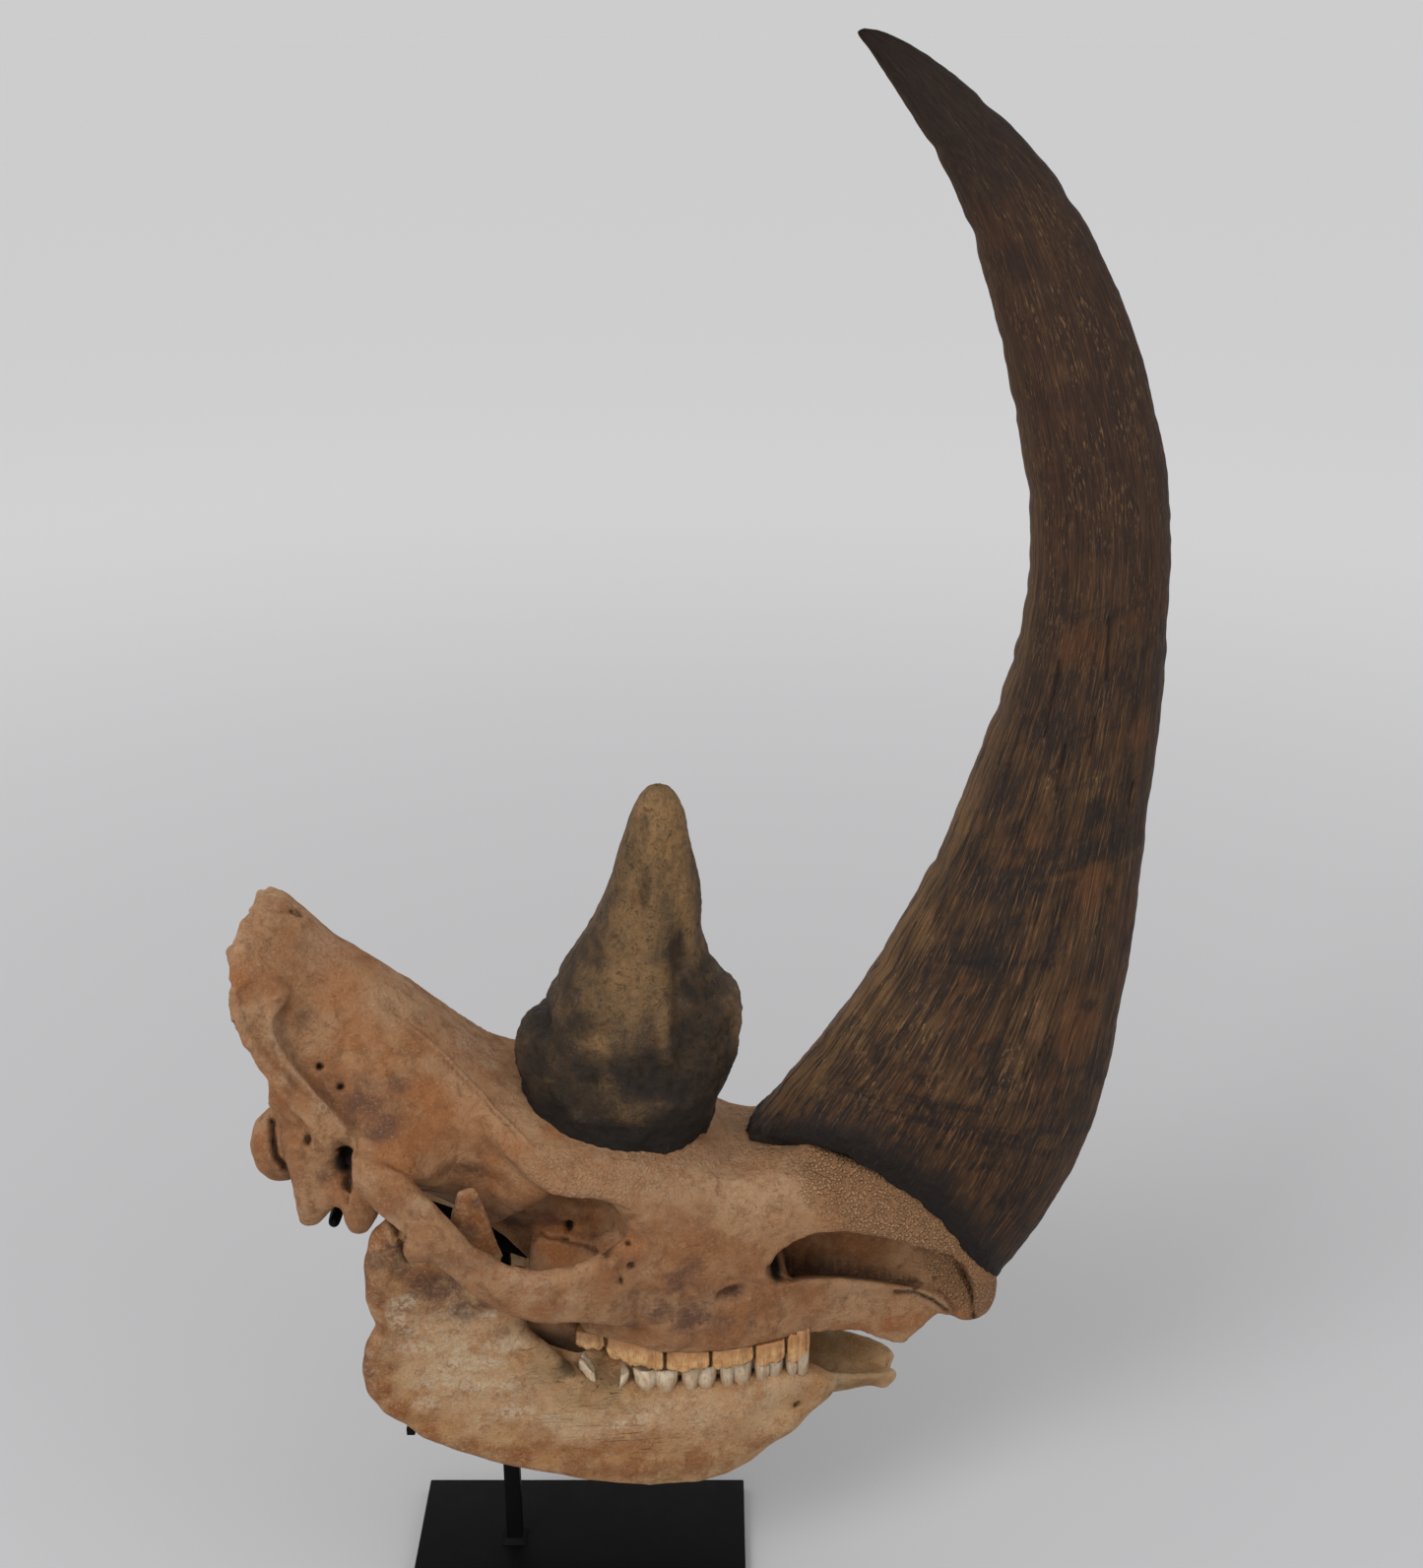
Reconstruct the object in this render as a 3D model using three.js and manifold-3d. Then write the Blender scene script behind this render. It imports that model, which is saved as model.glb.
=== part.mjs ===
// Woolly rhinoceros skull with two horns, mounted on a steel stand
// Millimetres, +Z up, nose towards +X, left and right of the animal along Y.
// The origin is the middle of the underside of the base plate.
import * as THREE from "three";
import { mergeVertices } from "three/addons/utils/BufferGeometryUtils.js";
import Module from "manifold-3d";

const wasm = await Module();
wasm.setup();

// Driving dimensions
const GAP = 0.3; // left between pieces that touch
const PLATE = { length: 340, depth: 170, thickness: 12, bevel: 1 };
const POST = { x: -70, side: 16, foot: 26, footHeight: 6 };
const SKULL_ARM = { width: 20, thickness: 14, rear: [-226, 452], front: [-42, 374] };
const OCCIPITAL_REST = { x: -212, radius: 6.5, halfLength: 88, clearance: 1 };
const JAW_ARM = { width: 6, height: 18, rear: [-158, 232], front: [200, 163.5] };
const JAW_REST = { x: -150, side: 8, halfLength: 112 };
const SEPTUM_HALF_THICKNESS = 11;
const TOOTH_GAP = 2; // between neighbours in a row

// Faces around each rounded form, and steps between the points of a smooth line
const AROUND = { arch: 8, jawBody: 10, process: 8, condyle: 10, hollow: 8, canal: 12, horn: 12, rod: 10 };
const SMOOTH_STEPS = 2;
// Power of an oval's rim: 1 is an ellipse, less is squarer
const SQUARE_RIM = { arch: 0.75, jawEnd: 0.6, jawBody: 0.7 };

// Colours, roughness and metalness of the materials
const FINISH = {
  bone: { color: 0xb98f66, roughness: 0.85, metalness: 0 },
  jawBone: { color: 0xb99a6c, roughness: 0.8, metalness: 0 },
  nasalHorn: { color: 0x3a2a1f, roughness: 0.7, metalness: 0 },
  frontalHorn: { color: 0x4c4130, roughness: 0.8, metalness: 0 },
  upperEnamel: { color: 0xcf9f63, roughness: 0.45, metalness: 0 },
  lowerEnamel: { color: 0xd8cdb4, roughness: 0.4, metalness: 0 },
  steel: { color: 0x101012, roughness: 0.45, metalness: 0.4 },
};

// Points along a smooth curve through the given ones, with some steps from each to the next
function through(points, steps, closed = false) {
  const curve = new THREE.CatmullRomCurve3(points, closed, "centripetal");
  const spans = closed ? points.length : points.length - 1;
  const count = spans * steps + (closed ? 0 : 1);
  return Array.from({ length: count }, (_, i) => curve.getPoint(i / (spans * steps)));
}

// A closed geometry as a solid, turned so that its faces point out
function solid(geometry) {
  const bare = new THREE.BufferGeometry().setAttribute("position", geometry.getAttribute("position"));
  if (geometry.getIndex()) bare.setIndex(geometry.getIndex());
  const merged = mergeVertices(bare, 1e-3);
  const vertProperties = merged.getAttribute("position").array;
  const build = (triVerts) =>
    new wasm.Manifold(new wasm.Mesh({ numProp: 3, vertProperties, triVerts }));
  const triVerts = Uint32Array.from(merged.getIndex().array);
  const made = build(triVerts);
  return made.volume() > 0 ? made : build(triVerts.slice().reverse());
}

// The middle of a ring of points
function middle(ring) {
  const sum = ring.reduce((total, p) => total.add(p), new THREE.Vector3());
  return sum.divideScalar(ring.length);
}

// A closed body over rings of equal length, each end closed to one point
function skin(rings, start = middle(rings[0]), end = middle(rings.at(-1))) {
  const around = rings[0].length;
  const faces = [];
  rings.slice(1).forEach((_, r) => {
    for (let i = 0; i < around; i++) {
      const next = (i + 1) % around;
      const [a, b] = [r * around + i, r * around + next];
      const [c, d] = [a + around, b + around];
      faces.push(a, b, d, a, d, c);
    }
  });
  const first = rings.length * around;
  for (let i = 0; i < around; i++) {
    const next = (i + 1) % around;
    faces.push(first, next, i);
    faces.push(first + 1, first - around + i, first - around + next);
  }
  const geometry = new THREE.BufferGeometry().setFromPoints([...rings.flat(), start, end]);
  return solid(geometry.setIndex(faces));
}

// An oval ring in a plane across X, with half sizes along Y and Z; power 1 is an ellipse
function oval([x, y, z], halfY, halfZ, around, power = 1) {
  return Array.from({ length: around }, (_, i) => {
    const turn = (2 * Math.PI * i) / around;
    const round = (value) => Math.sign(value) * Math.abs(value) ** power;
    return new THREE.Vector3(x, y + halfY * round(Math.sin(turn)), z + halfZ * round(Math.cos(turn)));
  });
}

// A flat shape drawn in X and Z, thick along Y and centred on y, its rim rounded off
function slab(outline, y, thickness, rounding = 0) {
  const shape = new THREE.Shape(outline.map(([x, z]) => new THREE.Vector2(x, z)));
  const geometry = new THREE.ExtrudeGeometry(shape, {
    depth: thickness - 2 * rounding,
    bevelEnabled: rounding > 0,
    bevelThickness: rounding,
    bevelSize: rounding,
    bevelOffset: -rounding,
    bevelSegments: 1,
    steps: 1,
  });
  geometry.rotateX(Math.PI / 2).translate(0, y + thickness / 2 - rounding, 0);
  return solid(geometry);
}

// A solid from a geometry that is put in its place
function placed(geometry, [x, y, z], turnY = 0) {
  return solid(geometry.rotateY(turnY).translate(x, y, z));
}

function ball([x, y, z], [rx, ry, rz], around) {
  const geometry = new THREE.SphereGeometry(1, around, around / 2 + 1);
  return solid(geometry.scale(rx, ry, rz).translate(x, y, z));
}

const join = (solids) => solids.reduce((all, one) => all.add(one));
const cut = (whole, solids) => solids.reduce((left, one) => left.subtract(one), whole);
const moved = (whole, x, y, z) => whole.translate([x, y, z]);
const largest = (whole) => whole.decompose().sort((a, b) => b.volume() - a.volume())[0];

// What is made for the side +1 is made again for the side -1
const bothSides = (make) => [make(1), make(-1)];

// Heights and widths between the rows of a table, by the value in its first column
function between(rows, x) {
  const last = rows.length - 2;
  const i = Math.min(last, Math.max(0, rows.findIndex((row) => row[0] > x) - 1));
  const share = (x - rows[i][0]) / (rows[i + 1][0] - rows[i][0]);
  return rows[i].map((value, k) => value + share * (rows[i + 1][k] - value));
}

// Lines along the skull from the nuchal crest to the nose tip, on the side +Y
// Each line has a point for the same 18 stations, so neighbours make a cross-section.
const SKULL_LINES = {
  roofMiddle: [
    [-281, 0, 751], [-255, 0, 749], [-215, 0, 715], [-170, 0, 679], [-130, 0, 641], [-85, 0, 597],
    [-50, 0, 573], [-10, 0, 561], [45, 0, 555], [76, 0, 546], [125, 0, 525], [170, 0, 506],
    [225, 0, 507], [280, 0, 500], [330, 0, 473], [368, 0, 431], [398, 0, 388], [414, 0, 350],
  ],
  temporalLine: [
    [-287, 58, 730], [-262, 46, 736], [-215, 17, 710], [-170, 25, 673], [-130, 28, 636], [-85, 40, 590],
    [-50, 72, 560], [-10, 96, 540], [45, 98, 534], [76, 90, 526], [125, 76, 510], [170, 64, 498],
    [225, 60, 494], [280, 60, 482], [330, 56, 448], [368, 47, 405], [398, 34, 369], [413, 18, 343],
  ],
  upperWall: [
    [-284, 97, 692], [-258, 84, 688], [-213, 54, 668], [-166, 57, 636], [-124, 62, 602], [-80, 70, 566],
    [-45, 96, 536], [-8, 118, 513], [42, 117, 508], [74, 111, 488], [125, 95, 466], [170, 84, 458],
    [225, 76, 455], [280, 72, 444], [330, 65, 420], [366, 50, 385], [396, 34, 350], [412, 18, 328],
  ],
  sideWall: [
    [-266, 106, 640], [-238, 95, 630], [-200, 82, 612], [-155, 84, 588], [-112, 80, 556], [-74, 74, 532],
    [-42, 68, 502], [-6, 70, 488], [44, 76, 474], [74, 112, 440], [125, 100, 415], [170, 88, 410],
    [225, 70, 402], [280, 56, 392], [330, 44, 372], [364, 36, 352], [393, 28, 330], [410, 15, 316],
  ],
  lowerWall: [
    [-226, 116, 588], [-205, 112, 578], [-168, 116, 552], [-134, 119, 532], [-102, 84, 508], [-68, 70, 482],
    [-38, 62, 455], [-4, 58, 444], [46, 62, 425], [76, 108, 385], [125, 99, 362], [170, 89, 360],
    [225, 63, 358], [280, 46, 350], [330, 32, 342], [360, 24, 330], [390, 20, 312], [407, 12, 306],
  ],
  outerEdge: [
    [-196, 112, 540], [-180, 104, 530], [-160, 98, 519], [-130, 88, 502], [-97, 56, 466], [-65, 44, 436],
    [-36, 40, 412], [-2, 42, 400], [46, 48, 385], [76, 94, 333], [125, 94, 322], [170, 88, 322],
    [225, 62, 318], [280, 42, 305], [322, 34, 284], [356, 22, 312], [386, 12, 296], [403, 8, 298],
  ],
  innerEdge: [
    [-215, 60, 504], [-200, 52, 496], [-172, 40, 480], [-138, 32, 460], [-100, 26, 436], [-66, 22, 404],
    [-36, 20, 388], [-2, 20, 380], [46, 24, 370], [76, 50, 336], [125, 48, 328], [170, 44, 328],
    [225, 36, 326], [280, 22, 312], [318, 18, 292], [350, 10, 312], [382, 6, 292], [400, 4, 294],
  ],
  floorMiddle: [
    [-258, 0, 486], [-236, 0, 480], [-200, 0, 472], [-152, 0, 450], [-104, 0, 430], [-66, 0, 400],
    [-36, 0, 384], [0, 0, 380], [46, 0, 370], [76, 0, 352], [125, 0, 350], [170, 0, 350],
    [225, 0, 346], [280, 0, 334], [325, 0, 318], [352, 0, 308], [382, 0, 290], [399, 0, 292],
  ],
};
const OCCIPUT_MIDDLE = new THREE.Vector3(-262, 0, 622);
const NOSE_END = new THREE.Vector3(416, 0, 322);

// Braincase, face, nasal roof and front jaw bones as one skin
function skullCore() {
  const lines = Object.values(SKULL_LINES).map((line) =>
    through(line.map((p) => new THREE.Vector3(...p)), SMOOTH_STEPS),
  );
  const rings = lines[0].map((_, station) => {
    const half = lines.map((line) => line[station]);
    const other = half.slice(1, -1).reverse();
    const mirrored = other.map((p) => new THREE.Vector3(p.x, -p.y, p.z));
    return through([...half, ...mirrored], SMOOTH_STEPS, true);
  });
  return skin(rings, OCCIPUT_MIDDLE, NOSE_END);
}

// Cheek arch: x, y of its middle, top, bottom, thickness
const CHEEK_ARCH = [
  [-196, 102, 566, 530, 16],
  [-164, 119, 552, 505, 42],
  [-134, 134, 541, 482, 38],
  [-105, 146, 519, 456, 28],
  [-78, 149, 483, 430, 22],
  [-48, 147, 460, 406, 22],
  [-22, 142, 450, 394, 24],
  [10, 131, 448, 387, 28],
  [40, 117, 454, 373, 34],
  [70, 94, 468, 348, 34],
  [100, 83, 460, 360, 30],
];

function cheekArch(side) {
  const rings = CHEEK_ARCH.map(([x, y, top, bottom, thickness]) => {
    const centre = [x, side * y, (top + bottom) / 2];
    return oval(centre, thickness / 2, (top - bottom) / 2, AROUND.arch, SQUARE_RIM.arch);
  });
  return skin(rings);
}

// Rear end of the upper jaw, over the last molars: x, y of its middle, top, bottom, half width
const JAW_END = [
  [-10, 70, 396, 366, 10],
  [8, 71, 418, 346, 19],
  [32, 73, 440, 336, 24],
  [62, 74, 452, 333, 25],
  [96, 73, 440, 328, 24],
];

function jawEnd(side) {
  const rings = JAW_END.map(([x, y, top, bottom, halfY]) => {
    const centre = [x, side * y, (top + bottom) / 2];
    return oval(centre, halfY, (top - bottom) / 2, AROUND.arch, SQUARE_RIM.jawEnd);
  });
  return skin(rings);
}

// A blunt process that hangs from the skull base: centre and half sizes of each level, root first
function process(side, levels) {
  const rings = levels.map(([x, y, z, halfX, halfY]) =>
    Array.from({ length: AROUND.process }, (_, i) => {
      const turn = (2 * Math.PI * i) / AROUND.process;
      return new THREE.Vector3(x + halfX * Math.cos(turn), side * y + halfY * Math.sin(turn), z);
    }),
  );
  return skin(rings);
}

// Behind the ear, and in front of it behind the jaw joint
const PAROCCIPITAL = [
  [-214, 64, 602, 24, 20],
  [-221, 82, 552, 34, 26],
  [-222, 87, 510, 27, 17],
  [-226, 90, 484, 19, 12],
  [-232, 91, 465, 9, 7],
];
const POSTGLENOID = [
  [-172, 100, 552, 24, 24],
  [-178, 107, 504, 21, 18],
  [-182, 109, 482, 15, 14],
  [-184, 109, 470, 9, 9],
];

// Outline of the nasal opening from the side, from its rear end over the top to the nose tip
const NASAL_OPENING = [
  [186, 404], [196, 422], [211, 433], [234, 441], [261, 441], [298, 431], [336, 416], [359, 403],
  [376, 385], [386, 358], [391, 328], [391, 262], [372, 262], [371, 316], [361, 330], [335, 347],
  [311, 357], [283, 367], [246, 378], [208, 386], [191, 393],
];

const PTERYGOID = [
  [-74, 428], [30, 418], [52, 346], [16, 330], [-6, 334], [-26, 372],
];

const CONDYLE = { at: [-264, 44, 521], radii: [29, 29, 40] };
const ORBIT = { at: [4, 92, 474], radii: [54, 38, 34] };
const INFRAORBITAL_HOLLOW = { at: [152, 94, 386], radii: [15, 9, 9] };
const EAR_OPENING = { at: [-192, 112, 543], outerRadius: 11, innerRadius: 8, depth: 50 };
const BRAIN_OPENING = { at: [-270, 0, 552], radius: 24, depth: 60 };
const CHOANA = { at: [70, 0, 376], radii: [46, 24, 26] };
const NASAL_POCKET_WIDTH = 140;
const PTERYGOID_PLATE = { y: 36, thickness: 12 };

// Both balls of a pair, at the same height on the two sides
const ballPair = ({ at: [x, y, z], radii }, around) =>
  bothSides((side) => ball([x, side * y, z], radii, around));

function earOpening(side) {
  const { at: [x, y, z], outerRadius, innerRadius, depth } = EAR_OPENING;
  const tube = new THREE.CylinderGeometry(outerRadius, innerRadius, depth, AROUND.hollow);
  return placed(tube.rotateX((side * Math.PI) / 2), [x, side * y, z]);
}

function cranium() {
  const bone = join([
    skullCore(),
    ...bothSides(cheekArch),
    ...bothSides(jawEnd),
    ...ballPair(CONDYLE, AROUND.condyle),
    ...bothSides((side) => process(side, PAROCCIPITAL)),
    ...bothSides((side) => process(side, POSTGLENOID)),
    ...bothSides((side) => slab(PTERYGOID, side * PTERYGOID_PLATE.y, PTERYGOID_PLATE.thickness)),
  ]);
  const pocketMiddle = SEPTUM_HALF_THICKNESS + NASAL_POCKET_WIDTH / 2;
  const { radius, depth } = BRAIN_OPENING;
  const canal = new THREE.CylinderGeometry(radius, radius, depth, AROUND.canal).rotateZ(Math.PI / 2);
  return cut(bone, [
    ...bothSides((side) => slab(NASAL_OPENING, side * pocketMiddle, NASAL_POCKET_WIDTH)),
    ...ballPair(ORBIT, AROUND.condyle),
    ...ballPair(INFRAORBITAL_HOLLOW, AROUND.hollow),
    ...bothSides(earOpening),
    placed(canal, BRAIN_OPENING.at),
    ball(CHOANA.at, CHOANA.radii, AROUND.hollow),
  ]);
}

// Side view of the jaw's rear branch with its coronoid process, from the joint round by the rear
const RAMUS = [
  [-158, 488], [-172, 470], [-181, 440], [-180, 402], [-173, 374], [-185, 350], [-190, 326],
  [-187, 300], [-176, 280], [-160, 261], [-140, 245], [-110, 226], [-70, 206], [-30, 192], [10, 184],
  [40, 200], [40, 280], [12, 300], [-14, 330], [-34, 352], [-46, 388], [-58, 430], [-70, 470],
  [-80, 497], [-90, 505], [-99, 493], [-104, 470], [-114, 452], [-128, 450], [-140, 466], [-145, 486],
];
const RAMUS_PLACE = { y: 98, thickness: 24, rounding: 7, splayDegrees: 6.4 };
const JAW_JOINT = { at: [-146, 112, 476], radii: [15, 27, 14] };

function ramus(side) {
  const { y, thickness, rounding, splayDegrees } = RAMUS_PLACE;
  const turned = slab(RAMUS, 0, thickness, rounding).rotate([0, 0, -side * splayDegrees]);
  return moved(turned, 0, side * y, 0);
}

// Jaw body: x, top, bottom, y of the top, y of the bottom, thickness
const JAW_BODY = [
  [-104, 296, 230, 108, 108, 18],
  [-62, 310, 203, 103, 103, 24],
  [-24, 306, 186, 97, 97, 32],
  [15, 294, 172, 90, 90, 42],
  [45, 286, 165, 86, 85, 48],
  [75, 281, 159, 82, 80, 52],
  [123, 277, 155, 76, 70, 52],
  [150, 276, 160, 72, 65, 50],
  [175, 278, 173, 66, 60, 46],
  [205, 279, 196, 57, 52, 40],
  [232, 270, 216, 47, 44, 32],
  [258, 250, 230, 38, 37, 18],
];

function jawBody(side) {
  const rings = JAW_BODY.map(([x, top, bottom, yTop, yBottom, thickness]) => {
    const centre = [x, 0, (top + bottom) / 2];
    const halfZ = (top - bottom) / 2;
    const ring = oval(centre, thickness / 2, halfZ, AROUND.jawBody, SQUARE_RIM.jawBody);
    for (const p of ring) {
      const share = (p.z - bottom) / (top - bottom);
      p.y = side * (p.y + yBottom + share * (yTop - yBottom));
    }
    return ring;
  });
  return skin(rings);
}

// Spout at the chin: x, half width, height of its edges, of its middle and of its underside
const SPOUT = [
  [182, 34, 224, 212, 186],
  [215, 45, 252, 228, 198],
  [245, 43, 256, 235, 211],
  [275, 37, 249, 234, 217],
  [300, 30, 245, 234, 221],
  [316, 21, 240, 234, 226],
];
// Its right half from the middle over the edge to the underside: share of the half width, and
// shares of the three heights
const SPOUT_SECTION = [
  [0, [0, 1, 0]], [0.5, [0.2, 0.8, 0]], [0.86, [1, 0, 0]], [1, [0.9, 0, 0.1]], [0.85, [0.5, 0, 0.5]],
  [0.45, [0, 0, 1]], [0, [0, 0, 1]],
];

function spout() {
  const rings = SPOUT.map(([x, half, ...heights]) => {
    const point = (side) => ([share, parts]) =>
      new THREE.Vector3(x, side * share * half, parts.reduce((z, part, i) => z + part * heights[i], 0));
    const left = SPOUT_SECTION.slice(1, -1).reverse().map(point(-1));
    return [...SPOUT_SECTION.map(point(1)), ...left];
  });
  return skin(rings);
}

function mandible() {
  return join([
    ...bothSides(ramus),
    ...bothSides(jawBody),
    ...ballPair(JAW_JOINT, AROUND.condyle),
    spout(),
  ]);
}

// Tooth rows: name, rear end, front end, height of the root end, of the crown's tip, width across
const UPPER_TEETH = [
  ["molar_3", 17, 43, 342, 320, 34],
  ["molar_2", 43, 97, 341, 303, 47],
  ["molar_1", 97, 140, 332, 301, 47],
  ["premolar_4", 140, 177, 330, 303, 42],
  ["premolar_3", 177, 205, 329, 303, 36],
  ["premolar_2", 205, 230, 327, 303, 28],
];
const LOWER_TEETH = [
  ["molar_3", 19, 66, 268, 300, 27],
  ["molar_2", 66, 110, 266, 299, 29],
  ["molar_1", 110, 145, 264, 298, 29],
  ["premolar_4", 145, 177, 264, 299, 27],
  ["premolar_3", 177, 206, 266, 299, 24],
  ["premolar_2", 206, 230, 262, 299, 20],
];
// Outer face of each row: x, y
const UPPER_ROW = [[-20, 91], [37, 97], [91, 99], [139, 96], [175, 89], [201, 80], [240, 65]];
const LOWER_ROW = [[-20, 100], [60, 94], [104, 90], [141, 84], [175, 76], [203, 68], [240, 56]];

// How far the crowns lean outwards, and how much higher the chewing face is at its inner edge
const UPPER_CROWN = { lean: 5, bite: 5 };
const LOWER_CROWN = { lean: 0, bite: 0 };

// Plan of a cheek tooth: shares of its length along the row and of its width inwards
const UPPER_PLAN = [
  [0, 0.12], [0.16, 0], [0.36, 0.07], [0.55, 0.01], [0.78, 0.09], [0.97, 0],
  [1, 0.5], [0.76, 0.98], [0.5, 0.86], [0.2, 1],
];
const LOWER_PLAN = [
  [0, 0.3], [0.12, 0.04], [0.34, 0.02], [0.48, 0.24], [0.62, 0.02], [0.88, 0.04],
  [1, 0.3], [0.85, 0.95], [0.5, 0.86], [0.15, 0.95],
];
const ROOT_SCALE = 0.95; // of the crown's length
const BASIN_SHARE = 0.15; // depth of the hollow in the chewing face, as a share of the tooth's height

// A crown from its root end to its chewing face, leaning with the row that it stands in
function tooth(side, [, rear, front, rootZ, tipZ, width], row, plan, { lean, bite }) {
  const length = front - rear - TOOTH_GAP;
  const levels = [
    { z: rootZ, scale: ROOT_SCALE, shift: lean, slope: 0 },
    { z: tipZ, scale: 1, shift: 0, slope: bite },
  ];
  const rings = levels.map(({ z, scale, shift, slope }) =>
    plan.map(([along, inward]) => {
      const x = rear + TOOTH_GAP / 2 + length * (0.5 + scale * (along - 0.5));
      const y = between(row, x)[1] - shift - width * inward;
      return new THREE.Vector3(x, side * y, z + slope * inward);
    }),
  );
  const basin = middle(rings[1]);
  basin.z += BASIN_SHARE * (rootZ - tipZ);
  return skin(rings, middle(rings[0]), basin);
}

// Horns, from side view: the rear edge and the front edge of each cross-section, its half width,
// and how far its middle rises over the line between the two edges
const NASAL_HORN = [
  [[160, 482], [408, 336], 61, 60],
  [[170, 515], [440, 385], 65, 30],
  [[199, 558], [480, 470], 64, 10],
  [[231, 600], [503, 558], 61, 0],
  [[284, 683], [516, 695], 55, 0],
  [[340, 801], [521, 840], 49, 0],
  [[377, 913], [524, 960], 45, 0],
  [[401, 1021], [521, 1062], 41, 0],
  [[401, 1100], [513, 1132], 38, 0],
  [[391, 1156], [500, 1184], 35, 0],
  [[367, 1252], [466, 1276], 30, 0],
  [[335, 1344], [412, 1365], 24, 0],
  [[301, 1403], [354, 1424], 18, 0],
  [[268, 1450], [300, 1463], 10, 0],
];
const NASAL_HORN_TIP = new THREE.Vector3(251, 0, 1480);
const FRONTAL_HORN = [
  [[-26, 500], [112, 478], 74, 0],
  [[-38, 545], [134, 525], 80, 0],
  [[-46, 590], [152, 572], 82, 0],
  [[-38, 632], [164, 632], 77, 0],
  [[-8, 676], [145, 672], 63, 0],
  [[21, 720], [127, 716], 52, 0],
  [[41, 762], [126, 760], 44, 0],
  [[54, 803], [117, 802], 34, 0],
  [[66, 840], [110, 838], 23, 0],
  [[77, 857], [100, 856], 12, 0],
];
const FRONTAL_HORN_TIP = new THREE.Vector3(88, 0, 862);

function horn(sections, tip) {
  const column = (pick) => through(sections.map(pick), SMOOTH_STEPS);
  const rear = column(([[x, z]]) => new THREE.Vector3(x, 0, z));
  const front = column(([, [x, z]]) => new THREE.Vector3(x, 0, z));
  const forms = column(([[x], , half, rise]) => new THREE.Vector3(x, half, rise));
  const rings = rear.map((back, i) =>
    Array.from({ length: AROUND.horn }, (_, k) => {
      const turn = (2 * Math.PI * k) / AROUND.horn;
      const share = 0.5 - 0.5 * Math.cos(turn);
      const p = back.clone().lerp(front[i], share);
      p.y = forms[i].y * Math.sin(turn);
      p.z += forms[i].z * 4 * share * (1 - share);
      return p;
    }),
  );
  return skin(rings, middle(rings[0]), tip);
}

// The stand
function basePlate() {
  const { length, depth, thickness, bevel } = PLATE;
  const [x, z] = [length / 2, thickness];
  const shape = [[-x, 0], [x, 0], [x, z - bevel], [x - bevel, z], [bevel - x, z], [-x, z - bevel]];
  return slab(shape, 0, depth);
}

// A straight bar with a rectangular section, from one point in X and Z to another
function bar([x0, z0], [x1, z1], y, width, height) {
  const length = Math.hypot(x1 - x0, z1 - z0);
  const box = new THREE.BoxGeometry(length, width, height);
  const slope = Math.atan2(z1 - z0, x1 - x0);
  return placed(box, [(x0 + x1) / 2, y, (z0 + z1) / 2], -slope);
}

const skullArm = () =>
  bar(SKULL_ARM.rear, SKULL_ARM.front, 0, SKULL_ARM.width, SKULL_ARM.thickness);

function post(arm) {
  const foot = PLATE.thickness + GAP;
  const { x, side, foot: footSide, footHeight } = POST;
  const top = SKULL_ARM.rear[1];
  const shaft = new THREE.BoxGeometry(side, side, top - foot);
  const weld = new THREE.CylinderGeometry(side / Math.SQRT2, footSide / Math.SQRT2, footHeight, 4);
  const whole = join([
    placed(shaft, [x, 0, (top + foot) / 2]),
    placed(weld.rotateX(Math.PI / 2).rotateZ(Math.PI / 4), [x, 0, foot + footHeight / 2]),
  ]);
  const copies = Array.from({ length: 5 }, (_, step) => step * SKULL_ARM.thickness - GAP);
  return largest(cut(whole, copies.map((z) => moved(arm, 0, 0, z))));
}

function occipitalRest() {
  const { x, radius, halfLength, clearance } = OCCIPITAL_REST;
  const [[x0, z0], [x1, z1]] = [SKULL_ARM.rear, SKULL_ARM.front];
  const slope = (z1 - z0) / (x1 - x0);
  const armTop = z0 + slope * (x - x0) + SKULL_ARM.thickness / 2 / Math.cos(Math.atan(slope));
  const rod = new THREE.CapsuleGeometry(radius, 2 * (halfLength - radius), 2, AROUND.rod);
  return placed(rod, [x, 0, armTop + radius + clearance]);
}

const jawArm = () => {
  const y = POST.side / 2 + JAW_ARM.width / 2 + GAP;
  return bar(JAW_ARM.rear, JAW_ARM.front, y, JAW_ARM.width, JAW_ARM.height);
};

function jawRest() {
  const { x, side, halfLength } = JAW_REST;
  const [[x0, z0], [x1, z1]] = [JAW_ARM.rear, JAW_ARM.front];
  const slope = (z1 - z0) / (x1 - x0);
  const top = z0 + slope * (x - side / 2 - x0) + JAW_ARM.height / 2 / Math.cos(Math.atan(slope));
  const box = new THREE.BoxGeometry(side, 2 * halfLength, side);
  return placed(box, [x, 0, top + side / 2 + GAP]);
}

// A solid as a named mesh with its own material
function piece(name, whole, finish) {
  const { vertProperties, triVerts } = whole.getMesh();
  const geometry = new THREE.BufferGeometry();
  geometry.setAttribute("position", new THREE.BufferAttribute(new Float32Array(vertProperties), 3));
  geometry.setIndex(new THREE.BufferAttribute(new Uint32Array(triVerts), 1));
  const faceted = geometry.toNonIndexed();
  faceted.computeVertexNormals();
  const mesh = new THREE.Mesh(faceted, new THREE.MeshStandardMaterial(finish));
  mesh.name = name;
  return mesh;
}

const skull = cranium();
const jaw = mandible();
const arm = skullArm();
const rhino = new THREE.Group();
rhino.add(piece("cranium", skull, FINISH.bone));
rhino.add(piece("mandible", jaw, FINISH.jawBone));

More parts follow.
